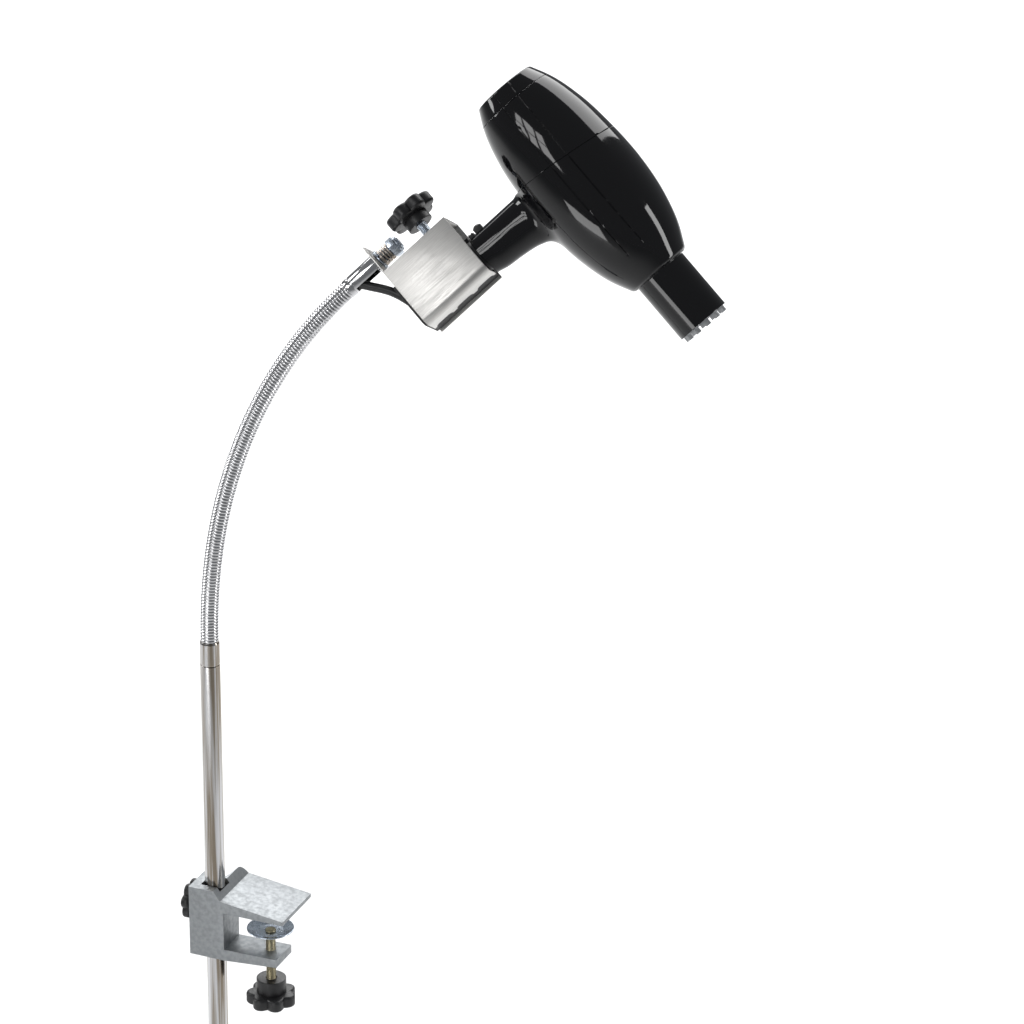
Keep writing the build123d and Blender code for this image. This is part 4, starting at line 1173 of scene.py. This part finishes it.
class PETDRYER_OT_stage(bpy.types.Operator):
    """Pale floor, soft lights and the camera"""

    bl_idname = "pet_dryer.stage"
    bl_label = "Stage"

    def execute(self, context):
        stage = context.scene.pet_dryer_stage
        floor = to_object(block((-9, 9), (-9, 9), (stage.floor_z - 0.02, stage.floor_z)), "pale_floor")
        floor.data.materials.append(finish("Pale floor", (0.86, 0.86, 0.86), rough=(0.75, 0.85), scale=3))
        self.camera(context, stage)
        self.sky(context)
        for name, place, target, wide, high, power in SOFT_LIGHTS:
            self.soft_light(name, place, Vector(target), wide, high, power)
        for column in range(3):
            for row in range(2):
                pane = Vector((-1.05 + 0.46 * column, -2.35 - 0.10 * column, 1.62 + 0.56 * row))
                self.soft_light(f"pane_{column}_{row}", pane, Vector(MIDDLE), 0.36, 0.46, PANE_POWER)
        return {"FINISHED"}

    def camera(self, context, stage):
        turn, slope, roll = stage.azimuth, stage.elevation, stage.roll
        ahead = Vector((-math.sin(turn) * math.cos(slope), math.cos(turn) * math.cos(slope),
                        -math.sin(slope)))
        right = Vector((math.cos(turn), math.sin(turn), 0))
        up = right.cross(ahead)
        level = right * math.cos(roll) + up * math.sin(roll)
        upright = up * math.cos(roll) - right * math.sin(roll)
        data = bpy.data.cameras.new("view")
        data.sensor_width = 36
        data.lens = stage.lens
        data.clip_end = 50
        camera = bpy.data.objects.new("view", data)
        m = Matrix((level, upright, -ahead)).transposed().to_4x4()
        m.translation = Vector(stage.camera_place)
        camera.matrix_world = m
        context.scene.collection.objects.link(camera)
        context.scene.camera = camera

    def sky(self, context):
        world = bpy.data.worlds.new("studio")
        world.use_nodes = True
        background = world.node_tree.nodes["Background"]
        background.inputs["Color"].default_value = (0.93, 0.96, 1.0, 1)
        rays = world.node_tree.nodes.new("ShaderNodeLightPath")
        level = world.node_tree.nodes.new("ShaderNodeMapRange")
        level.inputs["To Min"].default_value = SKY_LIGHT
        level.inputs["To Max"].default_value = SKY_SEEN
        world.node_tree.links.new(rays.outputs["Is Camera Ray"], level.inputs["Value"])
        world.node_tree.links.new(level.outputs[0], background.inputs["Strength"])
        context.scene.world = world
        context.scene.view_settings.view_transform = "Standard"

    def soft_light(self, name, place, target, wide, high, power):
        data = bpy.data.lights.new(name, "AREA")
        data.shape = "RECTANGLE"
        data.size = wide
        data.size_y = high
        data.energy = power
        light = bpy.data.objects.new(name, data)
        light.location = place
        light.rotation_euler = (target - Vector(place)).to_track_quat("-Z", "Y").to_euler()
        bpy.context.scene.collection.objects.link(light)


class PETDRYER_PT_panel(bpy.types.Panel):
    bl_label = "Pet Dryer"
    bl_idname = "PETDRYER_PT_panel"
    bl_space_type = "VIEW_3D"
    bl_region_type = "UI"
    bl_category = "Pet Dryer"

    def draw(self, context):
        for operator in OPERATORS:
            self.layout.operator(operator.bl_idname)


OPERATORS = (
    PETDRYER_OT_stage, PETDRYER_OT_cords, PETDRYER_OT_clamp, PETDRYER_OT_pole, PETDRYER_OT_neck,
    PETDRYER_OT_swivel, PETDRYER_OT_holder, PETDRYER_OT_housing, PETDRYER_OT_grip, PETDRYER_OT_inside,
)
CLASSES = (DryerSizes, DryerColours, DryerStage) + OPERATORS + (PETDRYER_PT_panel,)


def register():
    for cls in CLASSES:
        bpy.utils.register_class(cls)
    bpy.types.Scene.pet_dryer_sizes = PointerProperty(type=DryerSizes)
    bpy.types.Scene.pet_dryer_colours = PointerProperty(type=DryerColours)
    bpy.types.Scene.pet_dryer_stage = PointerProperty(type=DryerStage)


def unregister():
    del bpy.types.Scene.pet_dryer_stage
    del bpy.types.Scene.pet_dryer_colours
    del bpy.types.Scene.pet_dryer_sizes
    for cls in reversed(CLASSES):
        bpy.utils.unregister_class(cls)


def main():
    register()
    SHOP.update(make_finishes(bpy.context.scene.pet_dryer_colours))
    SHOP["hose tree"] = ringed_hose_tree()
    SHOP["thread tree"] = thread_tree()
    SHOP["around tree"] = around_tree()
    for operator in OPERATORS:
        group, name = operator.bl_idname.split(".")
        getattr(getattr(bpy.ops, group), name)()


if __name__ == "__main__":
    main()
